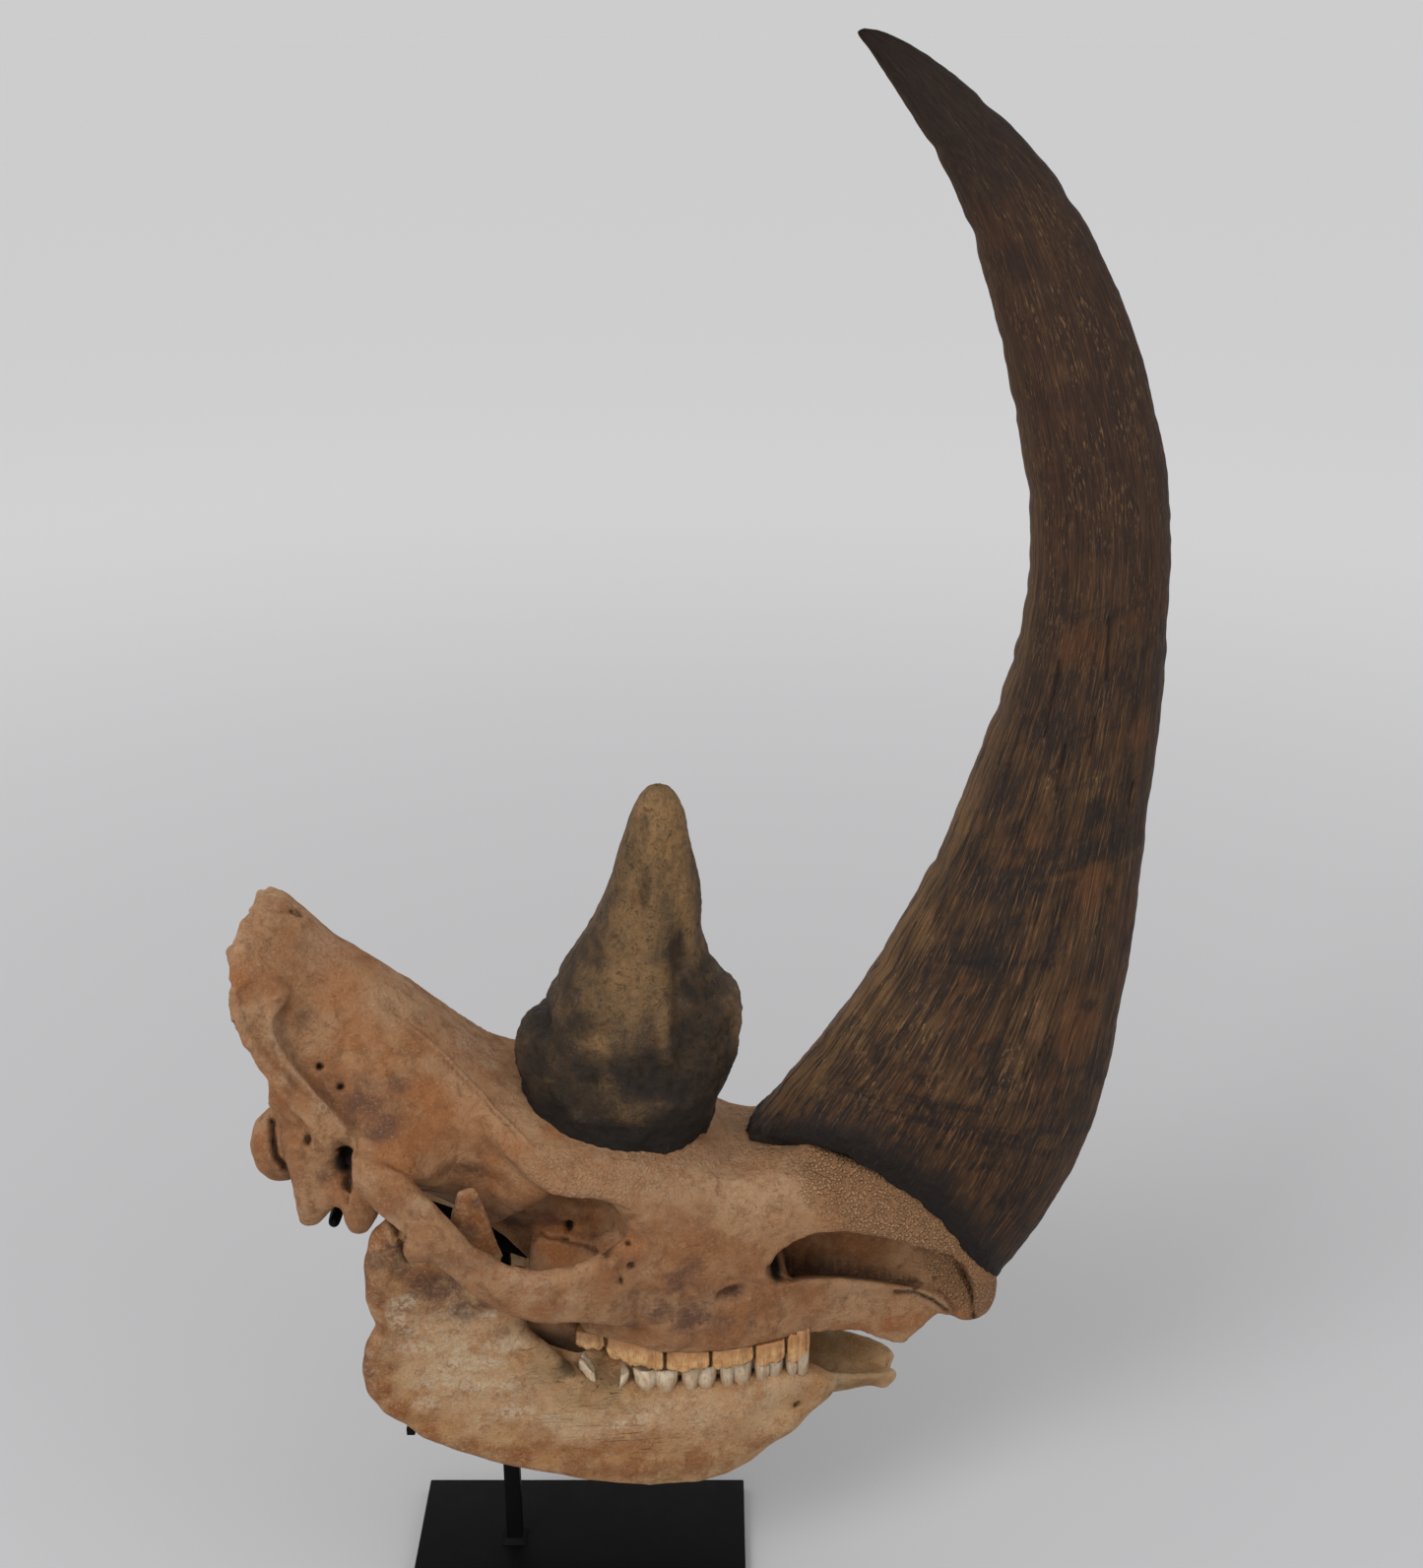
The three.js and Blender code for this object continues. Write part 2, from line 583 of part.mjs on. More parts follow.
const nasal = horn(NASAL_HORN, NASAL_HORN_TIP);
const frontal = horn(FRONTAL_HORN, FRONTAL_HORN_TIP);
const underNasal = moved(skull, GAP, 0, GAP);
const underFrontal = moved(skull, 0, 0, GAP);
rhino.add(piece("nasal_horn", largest(nasal.subtract(underNasal)), FINISH.nasalHorn));
rhino.add(piece("frontal_horn", largest(frontal.subtract(underFrontal)), FINISH.frontalHorn));

for (const [side, sideName] of [[-1, "right"], [1, "left"]]) {
  for (const row of UPPER_TEETH) {
    const crown = tooth(side, row, UPPER_ROW, UPPER_PLAN, UPPER_CROWN);
    const shown = largest(crown.subtract(moved(skull, 0, 0, -GAP)));
    rhino.add(piece(`upper_${row[0]}_${sideName}`, shown, FINISH.upperEnamel));
  }
  for (const row of LOWER_TEETH) {
    const crown = tooth(side, row, LOWER_ROW, LOWER_PLAN, LOWER_CROWN);
    const shown = largest(crown.subtract(moved(jaw, 0, 0, GAP)));
    rhino.add(piece(`lower_${row[0]}_${sideName}`, shown, FINISH.lowerEnamel));
  }
}

rhino.add(piece("base_plate", basePlate(), FINISH.steel));
rhino.add(piece("post", post(arm), FINISH.steel));
rhino.add(piece("skull_arm", arm, FINISH.steel));
rhino.add(piece("occipital_rest", occipitalRest(), FINISH.steel));
rhino.add(piece("jaw_arm", jawArm(), FINISH.steel));
rhino.add(piece("jaw_rest", jawRest(), FINISH.steel));

export default rhino;
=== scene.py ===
# %% [markdown]
# # The skull of a woolly rhinoceros on its stand
# The object is a fossil skull with its lower jaw, its cheek teeth and two horns of dark fibrous horn, held
# up by a plain black steel stand. The exact solids come in as the frame. Here each of them gets the surface
# and the finish of the real thing: bone is sculpted from a fine skin over its solid, the horns are rolled
# up from a flat grid so that their fibres run along them, and the stand is built from bevelled bars.

# %% The frame
import math
import bpy
import numpy as np
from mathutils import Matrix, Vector
from mathutils.bvhtree import BVHTree


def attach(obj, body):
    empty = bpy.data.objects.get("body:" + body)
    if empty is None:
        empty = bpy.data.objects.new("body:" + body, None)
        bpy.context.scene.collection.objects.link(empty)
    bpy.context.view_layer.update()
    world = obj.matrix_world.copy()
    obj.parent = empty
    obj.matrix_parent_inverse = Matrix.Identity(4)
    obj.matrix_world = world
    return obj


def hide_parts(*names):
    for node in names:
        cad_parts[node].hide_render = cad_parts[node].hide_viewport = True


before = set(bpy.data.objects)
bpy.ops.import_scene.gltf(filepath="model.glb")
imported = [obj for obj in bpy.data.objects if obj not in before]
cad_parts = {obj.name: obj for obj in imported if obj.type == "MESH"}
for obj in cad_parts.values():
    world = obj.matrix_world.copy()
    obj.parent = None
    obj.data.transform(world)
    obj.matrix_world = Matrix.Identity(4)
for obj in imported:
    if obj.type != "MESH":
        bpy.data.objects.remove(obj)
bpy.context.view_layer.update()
scene = bpy.context.scene
MM = 0.001
print("nodes in the frame:", len(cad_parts))

# %% [markdown]
# ## Camera
# The picture was taken from the right side of the animal, from a little above the horn's middle, looking
# down. The lens and the place are worked out from the marks of the rule beside the skull, so the render can
# be laid over the picture.

# %% Camera
PICTURE = (1445, 1592)
FOCAL_LENGTH_PIXELS = 1963
SENSOR = 36.0
CAMERA_PLACE = (0.135, -1.58, 1.50)
LOOKS_DOWN_DEGREES = 22
CLIP_END = 1000  # metres

camera = bpy.data.objects.new("photo_camera", bpy.data.cameras.new("photo_camera"))
scene.collection.objects.link(camera)
camera.data.sensor_width = SENSOR
camera.data.lens = SENSOR * FOCAL_LENGTH_PIXELS / max(PICTURE)
camera.location = CAMERA_PLACE
camera.rotation_euler = (math.radians(90 - LOOKS_DOWN_DEGREES), 0, 0)
camera.data.clip_end = CLIP_END
scene.camera = camera
print("lens in millimetres:", round(camera.data.lens, 2))

# %% [markdown]
# ## Helpers for nodes
# Every finish below is a small network of nodes. These few functions add one node each and hand back its
# output, so that a material reads as a list of layers: what the colour is, what lies over it, and where.


# %% Node helpers
def new_material(name):
    made = bpy.data.materials.new(name)
    made.use_nodes = True
    return made


def add_node(tree, kind, inputs=None, **settings):
    made = tree.nodes.new(f"ShaderNode{kind}")
    for key, value in settings.items():
        setattr(made, key, value)
    for key, value in (inputs or {}).items():
        if isinstance(value, bpy.types.NodeSocket):
            tree.links.new(value, made.inputs[key])
        else:
            made.inputs[key].default_value = value
    return made


def noise_node(tree, place, size_mm, detail=4.0, rough=0.55, twist=0.0):
    """Soft lumps of about size_mm, from 0 to 1."""
    inputs = {
        "Vector": place, "Scale": 1 / (size_mm * MM), "Detail": detail, "Roughness": rough,
        "Distortion": twist,
    }
    return add_node(tree, "TexNoise", inputs).outputs[0]


def graded(tree, value, low, high, to_low=0.0, to_high=1.0):
    """Value from low to high as a soft step from to_low to to_high."""
    inputs = {0: value, 1: low, 2: high, 3: to_low, 4: to_high}
    return add_node(tree, "MapRange", inputs, interpolation_type="SMOOTHSTEP").outputs[0]


def mixed(tree, share, under, over, blend="MIX"):
    """The colour under with the colour over it, by the share."""
    made = add_node(tree, "Mix", {0: share, 6: under, 7: over}, data_type="RGBA", blend_type=blend)
    return made.outputs[2]


def product(tree, first, second, operation="MULTIPLY"):
    return add_node(tree, "Math", {0: first, 1: second}, operation=operation).outputs[0]


def layered(tree, look, layers):
    """Lays painted tones over the look: (tone, share, name of the paint, texture, how it is graded)."""
    for tone, share, name, texture, *grading in layers:
        strength = painted(tree, name)
        if texture is not None:
            strength = product(tree, strength, graded(tree, texture, *grading))
        look = mixed(tree, strength if share == 1 else product(tree, strength, share), look, tone)
    return look


def painted(tree, name):
    """The strength that was painted on the mesh under this name."""
    return add_node(tree, "Attribute", attribute_name=name, attribute_type="GEOMETRY").outputs["Fac"]


def bumped(tree, height, distance_mm, normal=None):
    inputs = {"Height": height, "Distance": distance_mm * MM, "Strength": 1.0}
    if normal is not None:
        inputs["Normal"] = normal
    return add_node(tree, "Bump", inputs).outputs[0]


def finish_material(made, look, roughness, normal, specular=0.5):
    """Wires the layers of a material into its shader."""
    shader = made.node_tree.nodes["Principled BSDF"]
    for name, value in [("Base Color", look), ("Roughness", roughness), ("Normal", normal)]:
        made.node_tree.links.new(value, shader.inputs[name])
    shader.inputs["Specular IOR Level"].default_value = specular
    return made


def colour(red, green, blue):
    return (red, green, blue, 1.0)


# %% [markdown]
# ## Helpers for the skin of a piece
# A solid from the frame has flat facets. Its copy is merged, covered with an even skin of small squares by
# the voxel remesher, and the facets are melted away by moving each point towards its neighbours and part of
# the way back, which keeps the size. Real bone is then sculpted on that skin by moving its points in code,
# because a skull has no part that a primitive could start from.


# %% Skin helpers
MERGE_DISTANCE = 0.01  # millimetres
SHRINK, GROW_BACK = 0.5, 0.52  # how far one round of smoothing moves a point, and how far back


def select_only(obj):
    bpy.ops.object.select_all(action="DESELECT")
    obj.select_set(True)
    bpy.context.view_layer.objects.active = obj


def copy_of(node, name):
    """A new object with the merged mesh of a CAD node."""
    made = bpy.data.objects.new(name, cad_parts[node].data.copy())
    scene.collection.objects.link(made)
    made.data.materials.clear()
    select_only(made)
    bpy.ops.object.mode_set(mode="EDIT")
    bpy.ops.mesh.select_all(action="SELECT")
    bpy.ops.mesh.remove_doubles(threshold=MERGE_DISTANCE * MM)
    bpy.ops.object.mode_set(mode="OBJECT")
    return made


def reskin(obj, square_mm):
    """Covers obj with an even skin of squares."""
    select_only(obj)
    skin = obj.modifiers.new("skin", "REMESH")
    skin.mode = "VOXEL"
    skin.voxel_size = square_mm * MM
    bpy.ops.object.modifier_apply(modifier=skin.name)


def points_of(obj):
    """All points of obj in millimetres."""
    flat = np.empty(len(obj.data.vertices) * 3)
    obj.data.vertices.foreach_get("co", flat)
    return flat.reshape(-1, 3) / MM


def set_points(obj, points):
    obj.data.vertices.foreach_set("co", (points * MM).ravel())
    obj.data.update()


def normals_of(obj):
    flat = np.empty(len(obj.data.vertices) * 3, np.float32)
    obj.data.vertex_normals.foreach_get("vector", flat)
    return flat.reshape(-1, 3).astype(float)


def edges_of(obj):
    flat = np.empty(len(obj.data.edges) * 2, np.int32)
    obj.data.edges.foreach_get("vertices", flat)
    return flat.reshape(-1, 2)


def neighbour_mean(values, edges):
    """For each point, the mean of the values at its neighbours."""
    ends = np.concatenate([edges[:, 0], edges[:, 1]])
    others = np.concatenate([edges[:, 1], edges[:, 0]])
    count = len(values)
    total = [np.bincount(ends, values[others, k], count) for k in range(values.shape[1])]
    return np.stack(total, 1) / np.maximum(np.bincount(ends, minlength=count), 1)[:, None]


def relaxed(points, edges, rounds, keep_size=True):
    """Points moved towards their neighbours; with keep_size each round goes part of the way back."""
    for _ in range(rounds):
        points = points + SHRINK * (neighbour_mean(points, edges) - points)
        if keep_size:
            points = points - GROW_BACK * (neighbour_mean(points, edges) - points)
    return points


def paint(obj, name, strength):
    """Stores one strength per point, which a material reads by its name."""
    layer = obj.data.attributes.new(name, "FLOAT", "POINT")
    layer.data.foreach_set("value", np.clip(strength, 0, 1).astype(np.float32))


def triangles_in(obj):
    return sum(len(face.vertices) - 2 for face in obj.data.polygons)


# %% [markdown]
# ## Helpers for sculpting
# Sculpting needs three things: soft edges for a stroke, the distance to a drawn line, and irregular relief.
# The relief is value noise on a grid of fixed random numbers, so every run gives the same bone.


# %% Sculpting helpers
def soft_step(value, low, high):
    share = np.clip((value - low) / (high - low), 0, 1)
    return share * share * (3 - 2 * share)


def bell(distance, width):
    """1 where the distance is 0, falling off softly around the width."""
    return np.exp(-((distance / width) ** 2))


def spot(points, centre, radius):
    """Near 1 at the centre, falling off to 0 around the radius."""
    away = np.linalg.norm((points - np.array(centre)) / np.array(radius), axis=1)
    return np.exp(-2.0 * away**2)


def line_distance(points, line):
    """Distance in millimetres from each point to a line through the given corners."""
    nearest = np.full(len(points), 1e9)
    for start, end in zip(line[:-1], line[1:]):
        start, along = np.array(start, float), np.array(end, float) - np.array(start, float)
        share = np.clip(((points - start) @ along) / (along @ along), 0, 1)
        nearest = np.minimum(nearest, np.linalg.norm(points - start - share[:, None] * along, axis=1))
    return nearest


def random_at(cells, seed):
    """A fixed random number from 0 to 1 for each cell of a grid."""
    x, y, z = (cells[:, k].astype(np.int64) & 0xFFFFFFFF for k in range(3))
    mixed_up = (x * 374761393 + y * 668265263 + z * 2246822519 + seed * 3266489917) & 0xFFFFFFFF
    mixed_up = ((mixed_up ^ (mixed_up >> 13)) * 1274126177) & 0xFFFFFFFF
    return ((mixed_up ^ (mixed_up >> 16)) & 0xFFFFFF) / 0xFFFFFF


def lumps(points, size_mm, seed, octaves=1):
    """Smooth relief from -1 to 1 with lumps of about size_mm; further octaves are finer and weaker."""
    total, weight = 0.0, 0.0
    for octave in range(octaves):
        place = points / (size_mm / 2**octave) + 500.0
        cell = np.floor(place).astype(np.int64)
        part = place - cell
        part = part * part * (3 - 2 * part)
        value = 0.0
        for corner in np.ndindex(2, 2, 2):
            share = np.prod(np.where(np.array(corner) == 1, part, 1 - part), axis=1)
            value = value + share * random_at(cell + np.array(corner), seed + octave)
        total = total + (2 * value - 1) / 2**octave
        weight += 1 / 2**octave
    return total / weight


def one_side(points):
    """The points folded onto the animal's left side, because a skull is the same on both."""
    return points * [1, 0, 1] + np.abs(points) * [0, 1, 0]


# %% [markdown]
# ## Strokes by sight
# The camera stands where the photographer stood, so a place in the picture is also a line of sight. A
# stroke is given by where it is seen, in pixels of the picture, and by its size on the bone in millimetres.
# The skull is the same on both sides, so each stroke is made on both.


# %% Strokes by sight
def seen(obj, places):
    """The points of obj seen at these places, folded to one side; past its outline, the nearest point."""
    bpy.context.view_layer.update()
    turned = camera.rotation_euler.to_matrix()
    found = []
    for u, v in places:
        across = (u - PICTURE[0] / 2) / FOCAL_LENGTH_PIXELS
        up = (PICTURE[1] / 2 - v) / FOCAL_LENGTH_PIXELS
        sight = (turned @ Vector((across, up, -1))).normalized()
        hit, place, _, _ = obj.ray_cast(camera.location, sight)
        if hit:
            found.append(np.array(place) / MM)
        else:
            from_eye = points_of(obj) - np.array(CAMERA_PLACE) / MM
            off_sight = np.linalg.norm(np.cross(from_eye, np.array(sight)), axis=1)
            found.append(points_of(obj)[off_sight.argmin()])
    return one_side(np.array(found))


def spots_at(obj, folded, spots):
    """The strongest of some round strokes (u, v, radius, strength) at each point."""
    total = np.zeros(len(folded))
    for u, v, radius, strength in spots:
        total = np.maximum(total, strength * spot(folded, seen(obj, [(u, v)])[0], radius))
    return total


def pull(obj, spots):
    """Moves the skin straight: spots (u, v, radius, (dx, dy, dz)), dy away from the middle."""
    points = points_of(obj)
    folded, side = one_side(points), np.where(points[:, 1] < 0, -1.0, 1.0)
    moved = points.copy()
    for u, v, radius, (dx, dy, dz) in spots:
        strength = spot(folded, seen(obj, [(u, v)])[0], radius)
        moved += (
            strength[:, None] * np.stack([np.full_like(side, dx), dy * side, np.full_like(side, dz)], 1)
        )
    set_points(obj, moved)


def sculpt(obj, spots=(), lines=()):
    """Moves the skin along its normals: spots (u, v, radius, height), lines (places, half width, height)."""
    points, normals = points_of(obj), normals_of(obj)
    folded = one_side(points)
    push = np.zeros(len(points))
    for u, v, radius, height in spots:
        push += height * spot(folded, seen(obj, [(u, v)])[0], radius)
    for places, half_width, height in lines:
        push += height * bell(line_distance(folded, seen(obj, places)), half_width)
    set_points(obj, points + push[:, None] * normals)


# %% [markdown]
# ## Lumps of bone
# The solid leaves out the smaller lumps of bone. Each of them is the hull round a few balls, as a sculptor
# would press on clay, made for both sides and joined to the copy before the skin is laid over everything.


# %% Lumps of bone
def add_lump(target, balls):
    """Joins the hull round some balls (x, y, z, radius in millimetres) to the target, on both sides."""
    bpy.ops.object.select_all(action="DESELECT")
    made = []
    for x, y, z, radius in balls:
        bpy.ops.mesh.primitive_uv_sphere_add(
            segments=16, ring_count=10, radius=radius * MM, location=(x * MM, y * MM, z * MM)
        )
        made.append(bpy.context.active_object)
    for one in made:
        one.select_set(True)
    bpy.ops.object.join()
    bpy.ops.object.transform_apply(location=True, rotation=True, scale=True)
    bpy.ops.object.mode_set(mode="EDIT")
    bpy.ops.mesh.select_all(action="SELECT")
    bpy.ops.mesh.convex_hull()
    bpy.ops.mesh.select_all(action="SELECT")
    bpy.ops.mesh.duplicate()
    bpy.ops.transform.resize(value=(1, -1, 1), center_override=(0, 0, 0))
    bpy.ops.mesh.flip_normals()
    bpy.ops.object.mode_set(mode="OBJECT")
    target.select_set(True)
    bpy.context.view_layer.objects.active = target
    bpy.ops.object.join()


# %% [markdown]
# ## Cranium: the skin
# The upper skull is one grown piece: braincase, crest, cheek arches, face, the bridge of the nose with its
# bony wall, and the front jaw bones. Its skin is fine enough for pits and ridges of a few millimetres.

# %% Cranium skin
CRANIUM_SQUARE = 2.7
CRANIUM_LUMPS = [
    # brow behind the eye
    [(-20, 90, 508, 14), (-50, 77, 488, 14), (-66, 68, 462, 11), (-75, 58, 515, 18), (-15, 82, 528, 18)],
    # joint for the lower jaw, on the rear corner of the cheek arch
    [(-129, 143, 470, 9), (-110, 147, 480, 13), (-138, 141, 496, 9), (-118, 145, 506, 13)],
    # bone between the ear and the two processes
    [(-203, 96, 512, 11), (-206, 98, 499, 9), (-194, 106, 502, 9)],
    # the process behind the ear, squared off below
    [(-209, 98, 496, 8), (-216, 95, 490, 8), (-232, 91, 476, 7), (-222, 92, 520, 12)],
    # wing of the rear face above the neck joint
    [(-251, 84, 612, 8), (-257, 72, 580, 8), (-252, 60, 562, 8), (-232, 80, 560, 14), (-236, 92, 602, 10)],
    # rear end of the upper jaw, behind the last tooth
    [(-34, 64, 336, 18), (8, 70, 322, 13), (6, 62, 300, 10), (-16, 60, 298, 12), (-50, 56, 372, 18)],
    # edge of the bone over the rear teeth
    [(20, 88, 349, 7), (44, 92, 344, 7), (70, 94, 338, 7), (92, 95, 332, 7), (60, 86, 370, 12)],
    # floor of the eye socket
    [(-24, 56, 424, 11), (-2, 58, 422, 13), (40, 78, 418, 13), (0, 68, 400, 20), (-20, 60, 396, 18)],
    # side of the boss, up to the edge of the horn
    [
        (224, 32, 506, 9), (242, 41, 502, 9), (269, 46, 493, 9), (288, 49, 485, 9), (307, 50, 476, 9),
        (332, 47, 456, 9), (362, 40, 422, 9), (377, 31, 396, 8),
    ],
    # side of the crest
    [(-281, 42, 716, 9), (-278, 62, 706, 9), (-272, 76, 682, 9), (-262, 86, 662, 9), (-252, 66, 690, 14)],
]
cranium = copy_of("cranium", "cranium_bone")
for balls in CRANIUM_LUMPS:
    add_lump(cranium, balls)
reskin(cranium, CRANIUM_SQUARE)
points = relaxed(points_of(cranium), edges_of(cranium), 24)
set_points(cranium, relaxed(points, edges_of(cranium), 4, keep_size=False))
print("cranium skin:", len(cranium.data.vertices), "points")

# %% [markdown]
# ## Cranium: crest and temple
# The jaw muscle filled the temple, a shallow dish behind the eye. It is bounded behind by the thick rim
# that runs from the crest down to the ear, and above by a thin raised line along the roof. The dish is
# pressed in ahead of the rim and below the line, deepest at the rim.

# %% Crest and temple
TEMPLE_REAR = [
    (292, 1008), (278, 1014), (274, 1032), (276, 1053), (288, 1076), (307, 1098), (328, 1121), (349, 1147)
]
TEMPORAL_LINE = [
    (292, 1008), (325, 1008), (366, 1022), (405, 1036), (430, 1053), (444, 1066), (460, 1082), (472, 1095),
    (488, 1110), (500, 1126), (512, 1137), (526, 1152), (540, 1166),
]
points, normals = points_of(cranium), normals_of(cranium)
folded = one_side(points)
outwards = normals[:, 1] * np.sign(points[:, 1])
rear, above = seen(cranium, TEMPLE_REAR), seen(cranium, TEMPORAL_LINE)
rear = rear[np.argsort(rear[:, 2])]
above = above[np.argsort(above[:, 0])]
ahead_of_rear = folded[:, 0] - np.interp(folded[:, 2], rear[:, 2], rear[:, 0])
under_line = np.interp(folded[:, 0], above[:, 0], above[:, 2]) - folded[:, 2]
temple = soft_step(ahead_of_rear, 0, 13) * soft_step(under_line, -1, 20) * soft_step(outwards, 0.05, 0.4)
temple *= soft_step(folded[:, 2], 540, 575) * soft_step(-folded[:, 0], 20, 80)
shallow_near_top = 0.4 + 0.6 * soft_step(rear[-1, 2] - folded[:, 2], 4, 60)
depth = 8.0 * bell(ahead_of_rear, 34) * shallow_near_top + 2.0
ridge = bell(line_distance(folded, above), 2.2) * soft_step(folded[:, 0], -190, -150)
crest_edge = soft_step(-folded[:, 0], 236, 262) * soft_step(folded[:, 2], 600, 650)
rear_ridge = bell(line_distance(folded, rear), 4.0)
push = 2.8 * ridge + 2.4 * rear_ridge - depth * temple
push += crest_edge * (3.2 * lumps(folded, 26, 3, 2) + 2.0 * lumps(points, 9, 5))
set_points(cranium, points + push[:, None] * normals)
print("deepest press:", round(float(push.min()), 1), "mm")

# %% [markdown]
# ## Cranium: openings, hollows and ridges
# Nerves and blood vessels left small holes, and the ear, the joint with the neck and the eye socket have
# grooves of their own. Old bone has cracks as well. Each is one stroke at the place where it is seen.
# Inside the nose the floor falls away behind the sharp upper edge of the front bone. Last, a few places of
# the outline are pulled straight: the saddle between the horns goes down, and the crest's edge goes where
# the picture has it.

# %% Openings, hollows and ridges
CRANIUM_SPOTS = [
    (325, 1083, 4.5, -9), (346, 1103, 4.5, -9), (312, 1157, (4, 8, 7), -7),
    (350, 1176, (10, 18, 14), -16), (352, 1200, (6, 12, 12), -7),
    (578, 1244, 6, -12),
    (638, 1262, 3.5, -4), (641, 1285, (5, 6, 3.5), -5), (631, 1300, (3, 6, 5), -4), (628, 1289, 3, -2.5),
    (650, 1268, 12, 2.0), (622, 1283, 9, 2.0),
    (752, 1310, (16, 14, 12), -4.5), (743, 1300, (9, 10, 5), -2.5), (761, 1318, 6, 2.5),
    (705, 1335, (26, 14, 18), -2.5), (585, 1192, (44, 24, 14), 2.5), (560, 1345, 16, 1.5),
    (800, 1300, (14, 12, 8), -2.0),
    (905, 1345, (20, 14, 8), 2.0),
]
TEMPLE_RIM = [
    (236, 1006), (243, 1036), (262, 1070), (285, 1095), (300, 1109), (321, 1123), (337, 1140), (349, 1156),
]
SOCKET_CRACK = [
    (540, 1260), (549, 1252), (558, 1257), (568, 1257), (580, 1262), (592, 1263), (604, 1269), (616, 1274),
]
CRANIUM_STROKES = [
    (TEMPLE_RIM, 3.6, 3.0),
    ([(363, 1176), (384, 1186), (405, 1194), (428, 1208)], 5.0, 1.8),
    ([(276, 1136), (277, 1157), (280, 1175), (291, 1187)], 3.0, -8.0),
    ([(300, 1165), (305, 1195), (312, 1228)], 5.0, 1.5),
    ([(352, 1190), (354, 1208), (350, 1222)], 3.5, -7.0),
    (SOCKET_CRACK, 2.2, -3.5),
    ([(973, 1283), (982, 1301), (988, 1320), (989, 1338)], 2.6, -6.0),
    ([(909, 1312), (930, 1312), (949, 1321), (962, 1331)], 2.2, -3.0),
    ([(924, 1300), (936, 1303), (929, 1308)], 2.0, -2.5),
    ([(790, 1291), (806, 1294)], 2.2, -3.5),
    ([(775, 1332), (830, 1346), (880, 1350)], 7.0, -1.0),
    ([(296, 925), (306, 929)], 1.8, -4.0),
    ([(440, 1200), (470, 1190), (500, 1200)], 8.0, -2.5),
]
sculpt(cranium, CRANIUM_SPOTS, CRANIUM_STROKES)
print("strokes on each side:", len(CRANIUM_SPOTS) + len(CRANIUM_STROKES))

FRONT_BONE_X = [188, 205, 222, 239, 257, 274, 292, 309, 327, 345]
FRONT_BONE_Y = [82, 74, 65, 59, 53, 48, 43, 38, 33, 28]
points, normals = points_of(cranium), normals_of(cranium)
folded = one_side(points)
behind_edge = np.interp(folded[:, 0], FRONT_BONE_X, FRONT_BONE_Y) - 2 - folded[:, 1]
shelf = soft_step(folded[:, 0], 196, 214) * soft_step(-folded[:, 0], -345, -325)
shelf = shelf * soft_step(normals[:, 2], 0.15, 0.5)
shelf *= soft_step(folded[:, 2], 338, 348) * soft_step(-folded[:, 2], -412, -402)
points[:, 2] -= shelf * 0.62 * np.clip(behind_edge, 0, 40)
set_points(cranium, points)

OUTLINE_PULLS = [(400, 1257, (12, 30, 13), (9, 0, 2)), (742, 1124, (34, 70, 26), (0, 0, -12))]
CREST_PULLS = [
    (250, 931, (8, 60, 7), (5, 0, -3)), (232, 964, (8, 60, 12), (-4, 0, 0)),
    (236, 1000, (8, 60, 8), (2, 0, 0)),
]
pull(cranium, OUTLINE_PULLS)
pull(cranium, CREST_PULLS)

# %% [markdown]
# ## Cranium: the beds of the horns
# Horn grew on the skin over these beds, and the bone under it is covered with small grains, finest on the
# forehead and coarsest over the nose. The skin only gets the uneven ground of the bed; the grains
# themselves are a few millimetres wide and come from the bone's material.

# %% Beds of the horns
GRAINY_BAND = [(842, 1186), (868, 1212), (895, 1230), (922, 1245), (950, 1262), (975, 1284), (1000, 1318)]
BROW = [(560, 1190), (610, 1200), (660, 1180), (720, 1160), (770, 1170)]


def near_band(band, full, none):
    """1 within full millimetres of a band that is seen in the picture, and 0 beyond none."""
    away = line_distance(one_side(points_of(cranium)), seen(cranium, band))
    return 1 - soft_step(away * (1 + 0.3 * lumps(points_of(cranium), 14, 103, 2)), full, none)


points, normals = points_of(cranium), normals_of(cranium)
push = near_band(GRAINY_BAND, 18, 36) * (0.9 * lumps(points, 12, 21, 2) + 0.5 * lumps(points, 5.5, 23))
push += near_band(BROW, 10, 50) * (0.5 * lumps(points, 9, 31) + 0.4 * lumps(points, 6, 33))
rim_of_socket = spots_at(
    cranium, one_side(points), [(632, 1275, (20, 18, 34), 1.0), (590, 1232, (40, 20, 12), 0.8)]
)
push += rim_of_socket * 1.6 * lumps(points, 8, 35, 2)
set_points(cranium, points + push[:, None] * normals)
print("uneven by up to", round(float(np.abs(push).max()), 1), "mm")

# %% [markdown]
# ## Cranium: general relief
# No bone is smooth: broad soft waves, then a slight unevenness everywhere, stronger on the cheek arches and
# round the ear. The collapse at the end keeps the points where the surface bends and drops them where it is
# flat.

# %% General relief
TRIANGLE_LIMIT = 190_000
points, normals = points_of(cranium), normals_of(cranium)
push = 1.1 * lumps(points, 50, 41, 2) + 0.7 * lumps(points, 19, 43, 2) + 0.25 * lumps(points, 7, 45)
folded = one_side(points)
rough_places = spot(folded, (-80, 145, 470), (110, 40, 90)) + spot(folded, (-215, 95, 510), (50, 40, 60))
push += rough_places * 0.9 * lumps(points, 9, 47, 2)
set_points(cranium, points + push[:, None] * normals)


def thin_out(obj, limit):
    """Collapses edges until obj has fewer triangles than the limit."""
    if triangles_in(obj) > limit:
        select_only(obj)
        collapse = obj.modifiers.new("collapse", "DECIMATE")
        collapse.ratio = limit / triangles_in(obj)
        bpy.ops.object.modifier_apply(modifier=collapse.name)


thin_out(cranium, TRIANGLE_LIMIT)
print("cranium is left with", triangles_in(cranium), "triangles")
